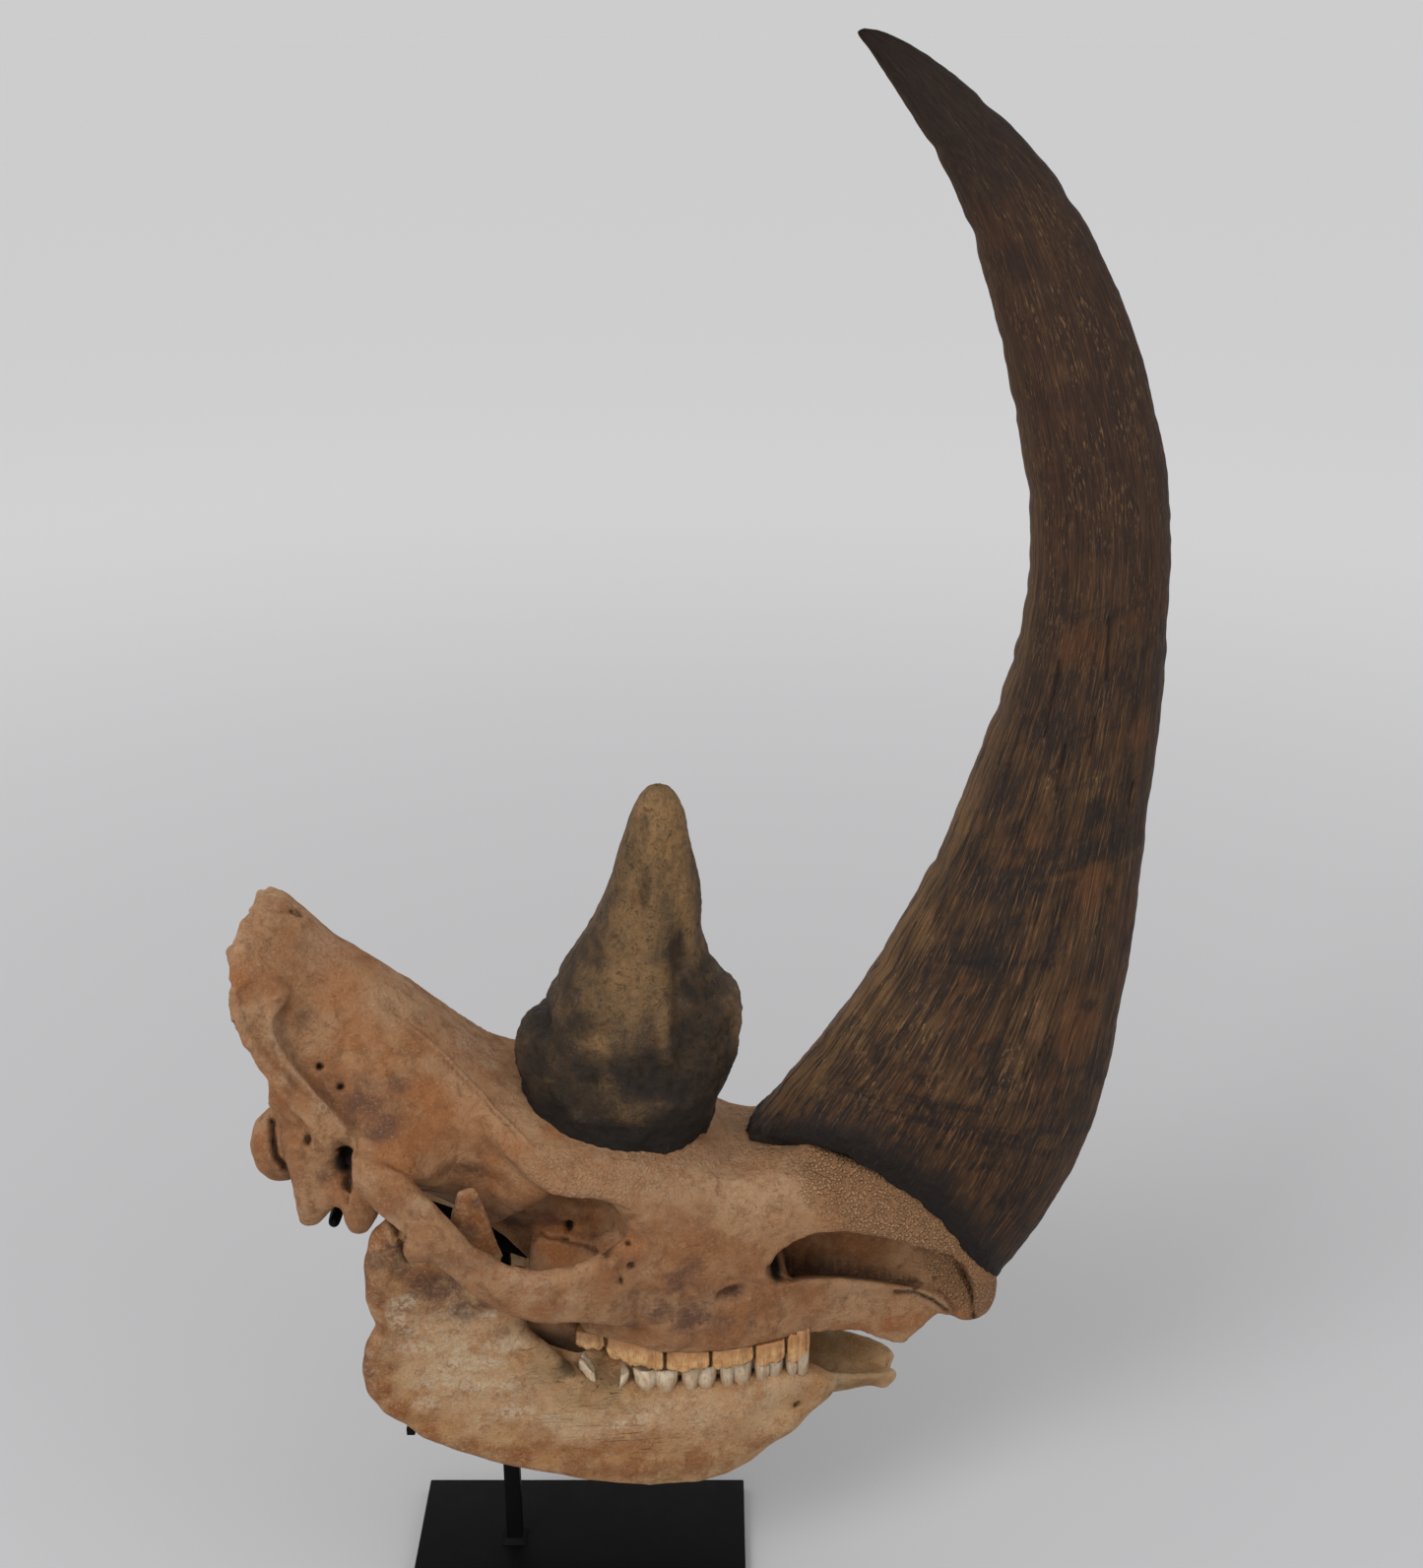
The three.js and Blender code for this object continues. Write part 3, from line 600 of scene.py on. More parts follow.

# %% [markdown]
# ## Painting bone
# Colour follows shape and history: hollows are painted dark as painted shade, ridges are pale where hands
# and cloths touched them, and minerals left orange and purplish brown stains. Each is painted as a strength
# on the points. How hollow a place is comes from comparing the surface with a smoothed copy of itself.


# %% Painting helpers
def hollowness(obj, rounds):
    """How far each point lies under a smoothed copy of the surface, in millimetres."""
    points = points_of(obj)
    smooth = relaxed(points, edges_of(obj), rounds, keep_size=False)
    return np.einsum("ij,ij->i", smooth - points, normals_of(obj))


# Paints hollow, the painted shade of the hollows, and ridge, the pale wear of the ridges.
def paint_hollows(obj, fine_depth, broad_depth):
    fine_form, broad_form = hollowness(obj, 4), hollowness(obj, 40)
    paint(
        obj, "hollow",
        soft_step(fine_form, 0.05, fine_depth) * 0.6 + soft_step(broad_form, 1.0, broad_depth),
    )
    paint(
        obj, "ridge",
        soft_step(-fine_form, 0.05, fine_depth) * 0.5 + soft_step(-broad_form, 1.0, broad_depth) * 0.7,
    )


def paint_seen(obj, name, spots, lines=()):
    """Paints patches with ragged edges (u, v, radius, strength) and lines (places, half width, strength)."""
    folded = one_side(points_of(obj))
    ragged = 1 + 0.35 * lumps(folded, 16, 101, 3)
    strength = np.zeros(len(folded))
    for u, v, radius, amount in spots:
        away = ragged * np.linalg.norm((folded - seen(obj, [(u, v)])[0]) / np.array(radius), axis=1)
        strength = np.maximum(strength, amount * (1 - soft_step(away, 0.4, 1.15)))
    for places, half_width, amount in lines:
        line = amount * bell(line_distance(folded, seen(obj, places)), half_width)
        strength = np.maximum(strength, line)
    paint(obj, name, strength)


# %% Paint on the cranium
# Stains of the bone; the patches in the temple dish beside its rear rim and in the eye socket are also
# painted shade of these hollows.
CRANIUM_STAINS = [  # purplish brown
    (373, 1122, 28, 0.9), (385, 1142, 24, 0.9), (405, 1098, 14, 0.6), (311, 1034, 14, 0.5),
    (325, 959, 24, 0.3), (706, 1338, 26, 1.0), (657, 1246, 10, 0.4), (746, 1308, 14, 0.9),
    (790, 1282, 9, 0.8), (690, 1302, 22, 0.8), (668, 1330, 20, 0.9), (451, 1270, 13, 0.3),
    (640, 1346, 14, 0.6), (735, 1345, 16, 0.6), (700, 1284, 14, 0.7), (640, 1320, 14, 0.5),
    (720, 1320, 12, 0.7), (760, 1345, 14, 0.4), (820, 1345, 12, 0.3), (330, 1195, 10, 0.5),
    (283, 1052, (10, 30, 26), 0.5), (470, 1278, (50, 40, 14), 0.45), (505, 1225, (30, 30, 20), 0.4),
    (420, 1225, (40, 40, 16), 0.25), (300, 1085, (10, 30, 16), 0.5), (330, 1110, (14, 30, 18), 0.5),
    (476, 1185, (40, 60, 10), 0.5), (530, 1240, (24, 20, 20), 0.9), (560, 1236, (44, 24, 14), 0.8),
    (600, 1262, (24, 24, 12), 0.5), (700, 1320, (60, 60, 26), 0.4),
]
# Orange brown stains; the patches in the eye socket also darken it as painted shade.
CRANIUM_RUST = [  # orange brown
    (342, 1004, 30, 0.7), (366, 1046, 26, 0.7), (391, 1081, 18, 0.6), (436, 1108, 22, 0.9),
    (405, 1178, 26, 0.9), (245, 987, 22, 0.7), (285, 1115, 15, 0.9), (262, 1160, 11, 0.7),
    (446, 1136, 22, 0.6), (520, 1160, 20, 0.7), (560, 1150, 14, 0.7), (600, 1240, 16, 0.8),
    (560, 1236, 12, 0.6), (872, 1358, 16, 0.8), (903, 1346, 14, 1.0), (850, 1350, 14, 0.5),
    (1000, 1300, 10, 0.5), (706, 1255, 10, 0.4), (640, 1262, 12, 0.7), (425, 1160, 18, 0.7),
    (500, 1185, 20, 0.6), (612, 1268, 12, 0.7), (566, 1256, (44, 60, 18), 0.8),
    (575, 1275, (40, 60, 10), 0.7), (925, 1342, (24, 30, 14), 0.7), (470, 1150, (60, 60, 30), 0.4),
    (690, 1200, 16, 0.4), (890, 1236, 16, 0.6), (850, 1220, 12, 0.6),
]
# Pale patches: the bone's own pale wear, and the broad patches on the crest, the forehead and along the roof
# are also a painted highlight where the light falls on the top.
CRANIUM_PALE = [
    (248, 1032, 12, 0.8), (285, 1095, 8, 0.8), (325, 1126, 8, 0.8), (354, 1160, 8, 0.8),
    (273, 921, 12, 0.7), (366, 1206, 12, 0.6), (311, 1233, 8, 0.6), (390, 990, 16, 0.5),
    (472, 1052, 20, 1.0), (496, 1080, 14, 1.0), (812, 1210, 20, 0.8), (710, 1176, 30, 0.6),
    (755, 1224, 18, 0.6), (428, 1224, 12, 0.7), (470, 1262, 14, 0.5), (542, 1308, 22, 0.7),
    (519, 1293, 16, 0.7), (587, 1319, 16, 0.6), (572, 1340, 16, 0.6), (600, 1206, 16, 0.6),
    (560, 1200, 14, 0.6), (865, 1314, 18, 0.5), (650, 1190, 18, 0.5), (400, 1240, 10, 0.6),
    (820, 1180, 14, 0.6), (252, 950, (40, 50, 44), 0.5), (330, 970, (50, 60, 30), 0.4),
    (400, 1010, (50, 60, 26), 0.45), (470, 1070, (50, 60, 26), 0.5), (530, 1130, (40, 60, 24), 0.4),
    (600, 1200, (70, 60, 24), 0.5), (760, 1190, (80, 60, 44), 0.8), (640, 1175, (60, 60, 20), 0.7),
    (700, 1230, (60, 60, 30), 0.3), (262, 1070, (22, 60, 50), 0.4), (470, 1290, (70, 40, 16), 0.3),
    (960, 1320, (30, 40, 20), 0.3), (880, 1325, (60, 40, 14), 0.3), (690, 1190, (50, 60, 26), 0.8),
    (560, 1180, (40, 60, 16), 0.5), (252, 1045, (14, 40, 40), 0.4), (980, 1300, 8, 0.5),
    (655, 1290, 12, 0.5), (430, 1012, 12, 0.6),
]
# Painted shade, near black: the insides of holes and of the nose, slits between bones and the gap seen
# behind the jaw.
CRANIUM_PAINTED_SHADE = [  # inside of holes and of the nose
    (350, 1178, (13, 22, 18), 1.0), (325, 1083, 4.5, 1.0), (346, 1103, 4.5, 1.0),
    (352, 1204, (6, 14, 12), 0.5), (312, 1157, (3, 6, 6), 0.8), (452, 1222, (20, 22, 14), 0.8),
    (520, 1240, (18, 18, 18), 0.45), (578, 1244, 6.0, 1.0), (787, 1288, (12, 30, 9), 1.0),
    (800, 1291, (14, 26, 6), 1.0), (850, 1284, (60, 40, 20), 0.25), (566, 1370, (44, 34, 32), 0.85),
    (638, 1262, 3.0, 0.8), (641, 1285, (5, 6, 3), 0.9), (631, 1300, (2.5, 6, 5), 0.8),
    (948, 1298, 2.2, 0.8), (953, 1311, 2.2, 0.8), (946, 1318, 2.0, 0.7), (934, 1286, 2, 0.6),
    (430, 1208, (20, 20, 5), 0.6), (574, 1258, (6, 8, 2.6), 0.9), (616, 1271, (7, 10, 4), 0.6),
    (610, 1240, 2.2, 0.7), (622, 1250, 2.0, 0.7), (598, 1236, 2.0, 0.6),
]
# Painted shade along cracks and grooves.
CRANIUM_PAINTED_SHADE_LINES = [
    ([(276, 1138), (277, 1157), (280, 1175), (291, 1187)], 3.0, 0.9),
    (SOCKET_CRACK, 1.2, 0.5),
    ([(978, 1291), (984, 1306), (988, 1320), (989, 1338)], 2.2, 1.0),
    ([(909, 1312), (930, 1312), (949, 1321), (962, 1331)], 2.0, 0.9),
    ([(924, 1300), (936, 1303), (929, 1308)], 1.8, 0.7),
    ([(780, 1286), (790, 1292), (806, 1295)], 2.4, 0.9),
    ([(296, 925), (306, 929)], 1.8, 0.9),
    ([(444, 1069), (460, 1085), (472, 1098), (488, 1113), (500, 1129), (512, 1140), (526, 1155)], 1.1, 0.5),
]
paint_hollows(cranium, 1.2, 9.0)
paint_seen(cranium, "stain", CRANIUM_STAINS)
paint_seen(cranium, "rust", CRANIUM_RUST, [(TEMPORAL_LINE[3:], 3.0, 0.9)])
paint_seen(cranium, "pale", CRANIUM_PALE, [(TEMPLE_REAR[2:], 3.0, 0.8), (TEMPORAL_LINE[2:], 6.0, 0.35)])
paint_seen(cranium, "dark", CRANIUM_PAINTED_SHADE, CRANIUM_PAINTED_SHADE_LINES)
paint(cranium, "grainy", near_band(GRAINY_BAND, 14, 44) + 0.3 * near_band(BROW, 10, 40))
print("painted strengths:", [a.name for a in cranium.data.attributes if a.data_type == "FLOAT"])

# %% [markdown]
# ## Lower jaw
# The lower jaw is paler than the skull. Its rear branch is a broad plate with a rough, thickened border
# where the chewing muscle held on, and a shallow dish inside that border. Ahead of it the body is thick and
# rounded below.

# %% Lower jaw
JAW_SQUARE = 2.5
CORONOID = [
    (-90, 112, 510, 4.5), (-80, 110, 512, 4.5), (-73, 108, 489, 5), (-61, 105, 440, 6), (-92, 112, 480, 6),
    (-95, 113, 452, 7), (-70, 108, 430, 8),
]
JAW_INNER_WALL = [
    (-34, 76, 322, 7), (-10, 70, 308, 7), (8, 67, 302, 7), (26, 66, 299, 7), (45, 66, 296, 7),
    (62, 68, 290, 6), (-20, 90, 300, 8), (40, 86, 278, 8),
]
BRANCH_BORDER = [
    (375, 1290), (379, 1320), (382, 1345), (378, 1368), (377, 1395), (388, 1420), (410, 1440), (445, 1458)
]
JAW_SPOTS = [
    (445, 1312, (30, 20, 24), -5.0), (480, 1342, (26, 20, 16), -2.5), (455, 1385, (60, 20, 60), -2.5),
    (418, 1449, (26, 60, 14), -4.0), (384, 1356, 7, -2.0), (376, 1372, 7, 1.5), (903, 1387, 6, -4.0),
    (700, 1430, (60, 20, 20), 1.5), (398, 1259, (6, 20, 9), -3.5), (898, 1404, 13, 7.0),
    (908, 1376, 7, 3.0), (905, 1389, 4, -4.0), (795, 1448, (28, 60, 22), 7.0),
    (850, 1418, (14, 60, 8), -3.0),
]
JAW_STROKES = [
    ([(399, 1234), (404, 1250), (408, 1264), (413, 1279)], 5.5, -7.0),
    ([(376, 1248), (383, 1275), (389, 1300)], 10.0, 2.0),
    ([(807, 1427), (811, 1425)], 1.8, -4.0),
    ([(560, 1395), (588, 1425), (622, 1440), (680, 1448)], 1.6, -0.6),
    ([(532, 1466), (600, 1474), (680, 1477), (736, 1474)], 1.8, -0.6),
]
jaw = copy_of("mandible", "jaw_bone")
add_lump(jaw, CORONOID)
add_lump(jaw, JAW_INNER_WALL)
reskin(jaw, JAW_SQUARE)
points = relaxed(points_of(jaw), edges_of(jaw), 26)
set_points(jaw, relaxed(points, edges_of(jaw), 5, keep_size=False))
sculpt(jaw, JAW_SPOTS, JAW_STROKES)

points, normals = points_of(jaw), normals_of(jaw)
folded = one_side(points)
outer = soft_step(normals[:, 1] * np.sign(points[:, 1]), 0.2, 0.7)
border = bell(line_distance(folded, seen(jaw, BRANCH_BORDER)), 18)
push = border * (1.5 + 1.3 * lumps(folded, 15, 51, 2))
push += 0.9 * lumps(points, 50, 53, 2) + 0.5 * lumps(points, 17, 55, 2) + 0.2 * lumps(points, 7, 56)
scratches = spots_at(jaw, folded, [(655, 1447, (34, 12, 9), 1.0)]) * outer
push -= scratches * 1.3 * np.maximum(0, lumps(points * [0.5, 0.5, 1], 4, 57))
set_points(jaw, points + push[:, None] * normals)
thin_out(jaw, TRIANGLE_LIMIT)

JAW_WHITE = [
    (412, 1322, (18, 30, 10), 0.9), (404, 1340, (12, 30, 16), 0.8), (425, 1368, (26, 30, 10), 0.9),
    (430, 1350, (30, 30, 8), 0.7), (476, 1384, (46, 30, 13), 1.0), (510, 1366, (26, 30, 12), 0.9),
    (455, 1402, (40, 30, 12), 0.8), (500, 1408, (34, 30, 10), 0.9), (524, 1432, (26, 30, 12), 0.9),
    (432, 1424, (18, 30, 10), 0.8), (494, 1336, (12, 30, 6), 0.9), (462, 1366, (18, 30, 18), 0.8),
    (630, 1447, (22, 20, 8), 0.9), (652, 1440, (20, 20, 8), 0.8), (560, 1440, 14, 0.6),
    (850, 1398, 14, 0.4), (700, 1436, (80, 40, 24), 0.45), (770, 1420, (50, 40, 22), 0.45),
    (810, 1400, 22, 0.35), (730, 1455, (70, 40, 14), 0.35), (450, 1360, (60, 50, 46), 0.5),
    (500, 1420, (70, 40, 44), 0.4), (600, 1450, (60, 40, 24), 0.4),
]
JAW_RUST = [
    (372, 1262, 14, 0.9), (381, 1320, 14, 1.0), (374, 1382, 16, 1.0), (386, 1410, 18, 1.0),
    (404, 1432, 16, 1.0), (434, 1456, 14, 0.9), (474, 1470, 18, 0.9), (524, 1480, 20, 0.9),
    (584, 1490, 22, 0.8), (644, 1492, 22, 0.8), (704, 1486, 22, 0.7), (378, 1238, 12, 0.9),
    (476, 1236, (22, 30, 40), 0.9), (545, 1462, 22, 0.6), (496, 1262, (22, 30, 34), 1.0),
    (395, 1390, 12, 0.8), (386, 1350, 12, 0.8), (610, 1470, (60, 30, 14), 0.6), (390, 1300, 14, 0.7),
    (760, 1460, 20, 0.5), (880, 1405, 16, 0.5), (382, 1250, (30, 40, 34), 1.0),
    (374, 1300, (16, 40, 40), 1.0), (372, 1360, (16, 40, 40), 1.0), (380, 1410, (20, 40, 24), 0.9),
    (480, 1225, (30, 50, 50), 1.0), (425, 1295, (40, 30, 16), 0.9), (470, 1480, (70, 40, 16), 0.7),
    (640, 1492, (90, 40, 12), 0.6),
]
JAW_STAINS = [
    (380, 1280, 13, 0.9), (440, 1308, (38, 30, 26), 1.0), (476, 1330, (34, 30, 16), 0.9),
    (387, 1318, 10, 0.8), (402, 1385, 9, 0.6), (395, 1268, 12, 0.9), (478, 1250, 9, 0.7),
    (484, 1222, 7, 0.7), (408, 1290, 14, 0.7), (412, 1352, 12, 0.5), (390, 1340, 8, 0.6),
    (376, 1395, 8, 0.7), (500, 1240, (8, 20, 20), 0.8), (540, 1350, 12, 0.6), (368, 1300, (8, 30, 50), 0.5),
    (366, 1370, (8, 30, 40), 0.6), (470, 1325, (60, 30, 20), 0.6), (410, 1285, (14, 20, 20), 0.8),
    (450, 1320, (70, 40, 24), 0.5), (392, 1345, (18, 40, 56), 0.4), (520, 1352, (24, 30, 12), 0.4),
]
JAW_OLIVE = [
    (870, 1362, (44, 40, 18), 1.0), (840, 1366, (24, 40, 16), 1.0), (600, 1420, (44, 30, 24), 0.8),
    (560, 1390, (30, 30, 26), 0.8), (790, 1420, (40, 30, 14), 0.4), (640, 1425, (30, 30, 12), 0.5),
]
JAW_CRACKED = [
    (590, 1415, (60, 40, 44), 1.0), (650, 1462, (90, 40, 22), 0.9), (545, 1370, (24, 30, 24), 0.8)
]
paint_hollows(jaw, 1.0, 7.0)
paint_seen(jaw, "pale", JAW_WHITE)
paint_seen(jaw, "rust", JAW_RUST)
paint_seen(jaw, "stain", JAW_STAINS)
paint_seen(jaw, "olive", JAW_OLIVE)
paint_seen(jaw, "cracked", JAW_CRACKED)
# Painted shade, near black: the gap seen inside the jaw, the crevice under the cheek arch and a small groove
# on the body.
JAW_PAINTED_SHADE = [(577, 1388, (24, 12, 12), 0.7), (600, 1390, (24, 12, 12), 0.45), (622, 1400, (20, 12, 8), 0.3)]
paint_seen(jaw, "dark", JAW_PAINTED_SHADE, [(JAW_STROKES[2][0], 1.8, 1.0), (JAW_STROKES[0][0], 3.6, 0.85)])
print("jaw has", triangles_in(jaw), "triangles")

# %% [markdown]
# ## Bone as a material
# Old bone is matte and never one colour. The layers go from broad to fine: two tones that drift into each
# other, orange and purplish stains where they were painted, painted shade in the hollows, pale ridges,
# speckles, and a grain of pits that is bumped and painted darker as painted shade. On the beds of the horns
# the gaps between grains are painted darker and their tops paler, as painted shade and painted highlight.
# Holes and grooves get a near-black painted shade. The jaw uses the same layers with paler tones.


# %% Bone material
def bone_material(name, tones, pale_share):
    made = new_material(name)
    tree = made.node_tree
    place = add_node(tree, "TexCoord").outputs["Object"]
    drift = noise_node(tree, place, 60, 4)
    mottle = noise_node(tree, place, 17, 7, 0.68, 0.5)
    fleck = noise_node(tree, place, 6, 6, 0.72, 0.9)
    speckle = noise_node(tree, place, 2.4, 4, 0.75, 0.3)
    pits = add_node(tree, "TexVoronoi", {"Vector": place, "Scale": 1 / (3.6 * MM)}).outputs[0]
    look = mixed(tree, graded(tree, drift, 0.4, 0.6), tones["tan"], tones["light"])
    look = mixed(tree, graded(tree, mottle, 0.46, 0.64, 0, 0.75), look, tones["brown"])
    look = mixed(tree, graded(tree, mottle, 0.46, 0.32, 0, 0.45), look, tones["light"])
    look = layered(tree, look, [
        (tones["olive"], 0.7, "olive", mottle, 0.3, 0.55, 0.5, 1.0),
        (tones["rust"], 0.85, "rust", fleck, 0.3, 0.56, 0.3, 1.0),
        (tones["stain"], 0.85, "stain", mottle, 0.32, 0.56, 0.25, 1.0),
        (tones["pale"], pale_share, "pale", fleck, 0.4, 0.58, 0.12, 1.0),
        (tones["pale"], 0.35, "ridge", None),
        # hollow: painted shade in the hollows
        (tones["dark"], 0.85, "hollow", None),
    ])
    look = mixed(tree, graded(tree, fleck, 0.56, 0.72, 0, 0.35), look, tones["stain"])
    look = mixed(tree, graded(tree, speckle, 0.54, 0.7, 0, 0.35), look, tones["stain"])
    look = mixed(tree, graded(tree, speckle, 0.46, 0.32, 0, 0.35), look, tones["pale"])
    # Pits are bumped and also painted darker: painted shade in the pits.
    pit_share = product(tree, graded(tree, pits, 0.17, 0.08), graded(tree, drift, 0.52, 0.62))
    look = mixed(tree, product(tree, pit_share, 0.7), look, tones["dark"])
    # On the beds of the horns the gaps between grains are painted darker and the grain tops paler: painted
    # shade and painted highlight over the bump.
    grains_apart = add_node(tree, "TexVoronoi", {"Vector": place, "Scale": 1 / (3.3 * MM)}).outputs[0]
    gap = product(tree, graded(tree, grains_apart, 0.34, 0.66), painted(tree, "grainy"))
    look = mixed(tree, product(tree, painted(tree, "grainy"), 0.8), look, tones["sand"])
    look = mixed(tree, product(tree, gap, 0.5), look, tones["brown"])
    grain_top_highlight = product(tree, graded(tree, grains_apart, 0.26, 0.05), painted(tree, "grainy"))
    look = mixed(tree, product(tree, grain_top_highlight, 0.55), look, tones["pale"])
    tilted = {"Vector": place, "Rotation": (0, math.radians(-14), 0), "Scale": (0.06, 0.3, 1)}
    along = add_node(tree, "Mapping", tilted).outputs[0]
    lines = noise_node(tree, along, 2.6, 3, 0.6, 0.6)
    split = product(tree, graded(tree, lines, 0.6, 0.68), painted(tree, "cracked"))
    look = mixed(tree, product(tree, split, 0.6), look, tones["stain"])
    # Holes, slits and grooves painted near black: painted shade.
    look = mixed(tree, painted(tree, "dark"), look, tones["painted_hole_shade"])
    roughness = graded(tree, mottle, 0.3, 0.7, 0.6, 0.85)
    normal = bumped(tree, mottle, 3.0)
    normal = bumped(tree, fleck, 2.0, normal)
    normal = bumped(tree, speckle, 0.9, normal)
    normal = bumped(tree, product(tree, pit_share, -1.0), 0.8, normal)
    normal = bumped(tree, product(tree, gap, -1.0), 2.6, normal)
    normal = bumped(tree, product(tree, split, -1.0), 0.8, normal)
    return finish_material(made, look, roughness, normal, 0.16)


CRANIUM_TONES = {
    "tan": colour(0.285, 0.122, 0.049),
    "light": colour(0.365, 0.198, 0.098),
    "brown": colour(0.2, 0.09, 0.039),
    "sand": colour(0.36, 0.2, 0.1),
    "olive": colour(0.22, 0.13, 0.06),
    "rust": colour(0.29, 0.1, 0.028),
    "stain": colour(0.105, 0.05, 0.034),
    "pale": colour(0.48, 0.325, 0.2),
    # dark is the painted shade of the hollows and pits; the last tone is the near-black painted shade of
    # holes and grooves.
    "dark": colour(0.035, 0.016, 0.008),
    "painted_hole_shade": colour(0.006, 0.004, 0.003),
}
JAW_TONES = {
    "tan": colour(0.405, 0.206, 0.086),
    "light": colour(0.47, 0.287, 0.143),
    "brown": colour(0.28, 0.125, 0.045),
    "sand": colour(0.46, 0.27, 0.13),
    "olive": colour(0.27, 0.175, 0.08),
    "rust": colour(0.225, 0.074, 0.021),
    "stain": colour(0.09, 0.043, 0.03),
    "pale": colour(0.58, 0.45, 0.31),
    # dark is the painted shade of the hollows and pits; the last tone is the near-black painted shade of
    # holes and grooves.
    "dark": colour(0.05, 0.024, 0.012),
    "painted_hole_shade": colour(0.006, 0.004, 0.003),
}
cranium.data.materials.append(bone_material("bone_of_the_cranium", CRANIUM_TONES, 0.65))
jaw.data.materials.append(bone_material("bone_of_the_jaw", JAW_TONES, 0.85))
for piece, node, slot in [(cranium, "cranium", "skull_bone"), (jaw, "mandible", "jaw_bone")]:
    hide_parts(node)
    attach(piece, "root")
    select_only(piece)
    bpy.ops.object.shade_smooth()
print("bone pieces are placed")

# %% [markdown]
# ## Horns
# A horn is a bundle of hair-like fibres with no bone inside. The fibres run from the bed to the tip, so the
# skin of a horn is a flat grid that is rolled up: one direction goes round, the other goes along, and the
# streaks, grooves and cracks can follow both. The cross-sections are the ones of the solid.


# %% Rolling up a horn
NASAL_SECTIONS = [  # rear edge x z, front edge x z, half width, rise of the middle
    (168, 505, 408, 336, 61, 80), (182, 525, 440, 385, 65, 58), (205, 560, 480, 470, 64, 26),
    (234, 602, 503, 558, 61, 0), (284, 683, 516, 695, 55, 0), (340, 801, 521, 840, 49, 0),
    (377, 913, 524, 960, 45, 0), (401, 1021, 521, 1062, 41, 0), (401, 1100, 513, 1132, 38, 0),
    (391, 1156, 500, 1184, 35, 0), (367, 1252, 466, 1276, 30, 0), (335, 1344, 412, 1365, 24, 0),
    (301, 1403, 354, 1424, 18, 0), (268, 1450, 300, 1463, 10, 0), (255, 1470, 270, 1478, 6, 0),
    (251, 1477, 256, 1480, 3, 0),
]
FRONTAL_SECTIONS = [
    (-26, 500, 112, 478, 74, 0), (-38, 545, 134, 525, 80, 0), (-46, 590, 152, 572, 82, 0),
    (-38, 632, 164, 632, 77, 0), (-8, 676, 145, 672, 63, 0), (21, 720, 127, 716, 52, 0),
    (41, 762, 126, 760, 44, 0), (54, 803, 117, 802, 34, 0), (66, 840, 110, 838, 23, 0),
    (77, 857, 100, 856, 12, 0), (88, 862, 88, 862, 0, 0),
]


def smooth_rows(rows, shares):
    """Rows of a table read at shares from 0 to 1 of the way down, on a smooth curve through all of them."""
    rows = np.array(rows, float)
    padded = np.vstack([2 * rows[0] - rows[1], rows, 2 * rows[-1] - rows[-2]])
    middles = 0.5 * (rows[:, :2] + rows[:, 2:4])
    reach = np.concatenate([[0], np.cumsum(np.linalg.norm(np.diff(middles, axis=0), axis=1))])
    at = np.interp(shares * reach[-1], reach, np.arange(len(rows)))
    step = np.minimum(at.astype(int), len(rows) - 2)
    t = (at - step)[:, None]
    a, b, c, d = padded[step], padded[step + 1], padded[step + 2], padded[step + 3]
    square, cube = (2 * a - 5 * b + 4 * c - d) * t**2, (3 * b - a - 3 * c + d) * t**3
    return 0.5 * (2 * b + (c - a) * t + square + cube), reach[-1]


def rolled_horn(name, sections, around, along, sharpness):
    """A grid rolled up over the sections. Returns it with the turn and the share along at each point."""
    bpy.ops.object.select_all(action="DESELECT")
    bpy.ops.mesh.primitive_grid_add(x_subdivisions=around, y_subdivisions=along, size=1)
    made = bpy.context.active_object
    made.name = made.data.name = name
    flat = points_of(made) * MM
    turn, share = 2 * np.pi * (flat[:, 0] + 0.5), np.clip(flat[:, 1] + 0.5, 0, 1)
    rows, length = smooth_rows(sections, share)
    across = 0.5 - 0.5 * np.cos(turn)
    x = rows[:, 0] + across * (rows[:, 2] - rows[:, 0])
    z = rows[:, 1] + across * (rows[:, 3] - rows[:, 1]) + rows[:, 5] * (1 - np.abs(2 * across - 1) ** 2.6)
    y = np.maximum(rows[:, 4], 0) * np.sign(np.sin(turn)) * np.abs(np.sin(turn)) ** sharpness
    set_points(made, np.stack([x, y, z], 1))
    keep = np.stack([turn, share, across], 1)
    for k, layer_name in enumerate(["turn", "share", "across"]):
        layer = made.data.attributes.new(layer_name, "FLOAT", "POINT")
        layer.data.foreach_set("value", keep[:, k].astype(np.float32))
    select_only(made)
    bpy.ops.object.mode_set(mode="EDIT")
    bpy.ops.mesh.select_all(action="SELECT")
    bpy.ops.mesh.remove_doubles(threshold=0.05 * MM)
    bpy.ops.mesh.select_all(action="DESELECT")
    bpy.ops.mesh.select_non_manifold()
    bpy.ops.mesh.edge_face_add()
    bpy.ops.mesh.poke()
    bpy.ops.mesh.select_all(action="SELECT")
    bpy.ops.mesh.normals_make_consistent(inside=False)
    bpy.ops.object.mode_set(mode="OBJECT")
    return made, length


def values_of(obj, name):
    flat = np.empty(len(obj.data.vertices), np.float32)
    obj.data.attributes[name].data.foreach_get("value", flat)
    return flat.astype(float)


def fibre_places(turn, share, length, radius_mm=60.0):
    """Where each point lies in its own horn: round it in x and y, along it in z, without a seam."""
    return np.stack([radius_mm * np.cos(turn), radius_mm * np.sin(turn), share * length], 1)


def keep_fibre_places(obj, places):
    layer = obj.data.attributes.new("fibre", "FLOAT_VECTOR", "POINT")
    layer.data.foreach_set("vector", (places * MM).astype(np.float32).ravel())


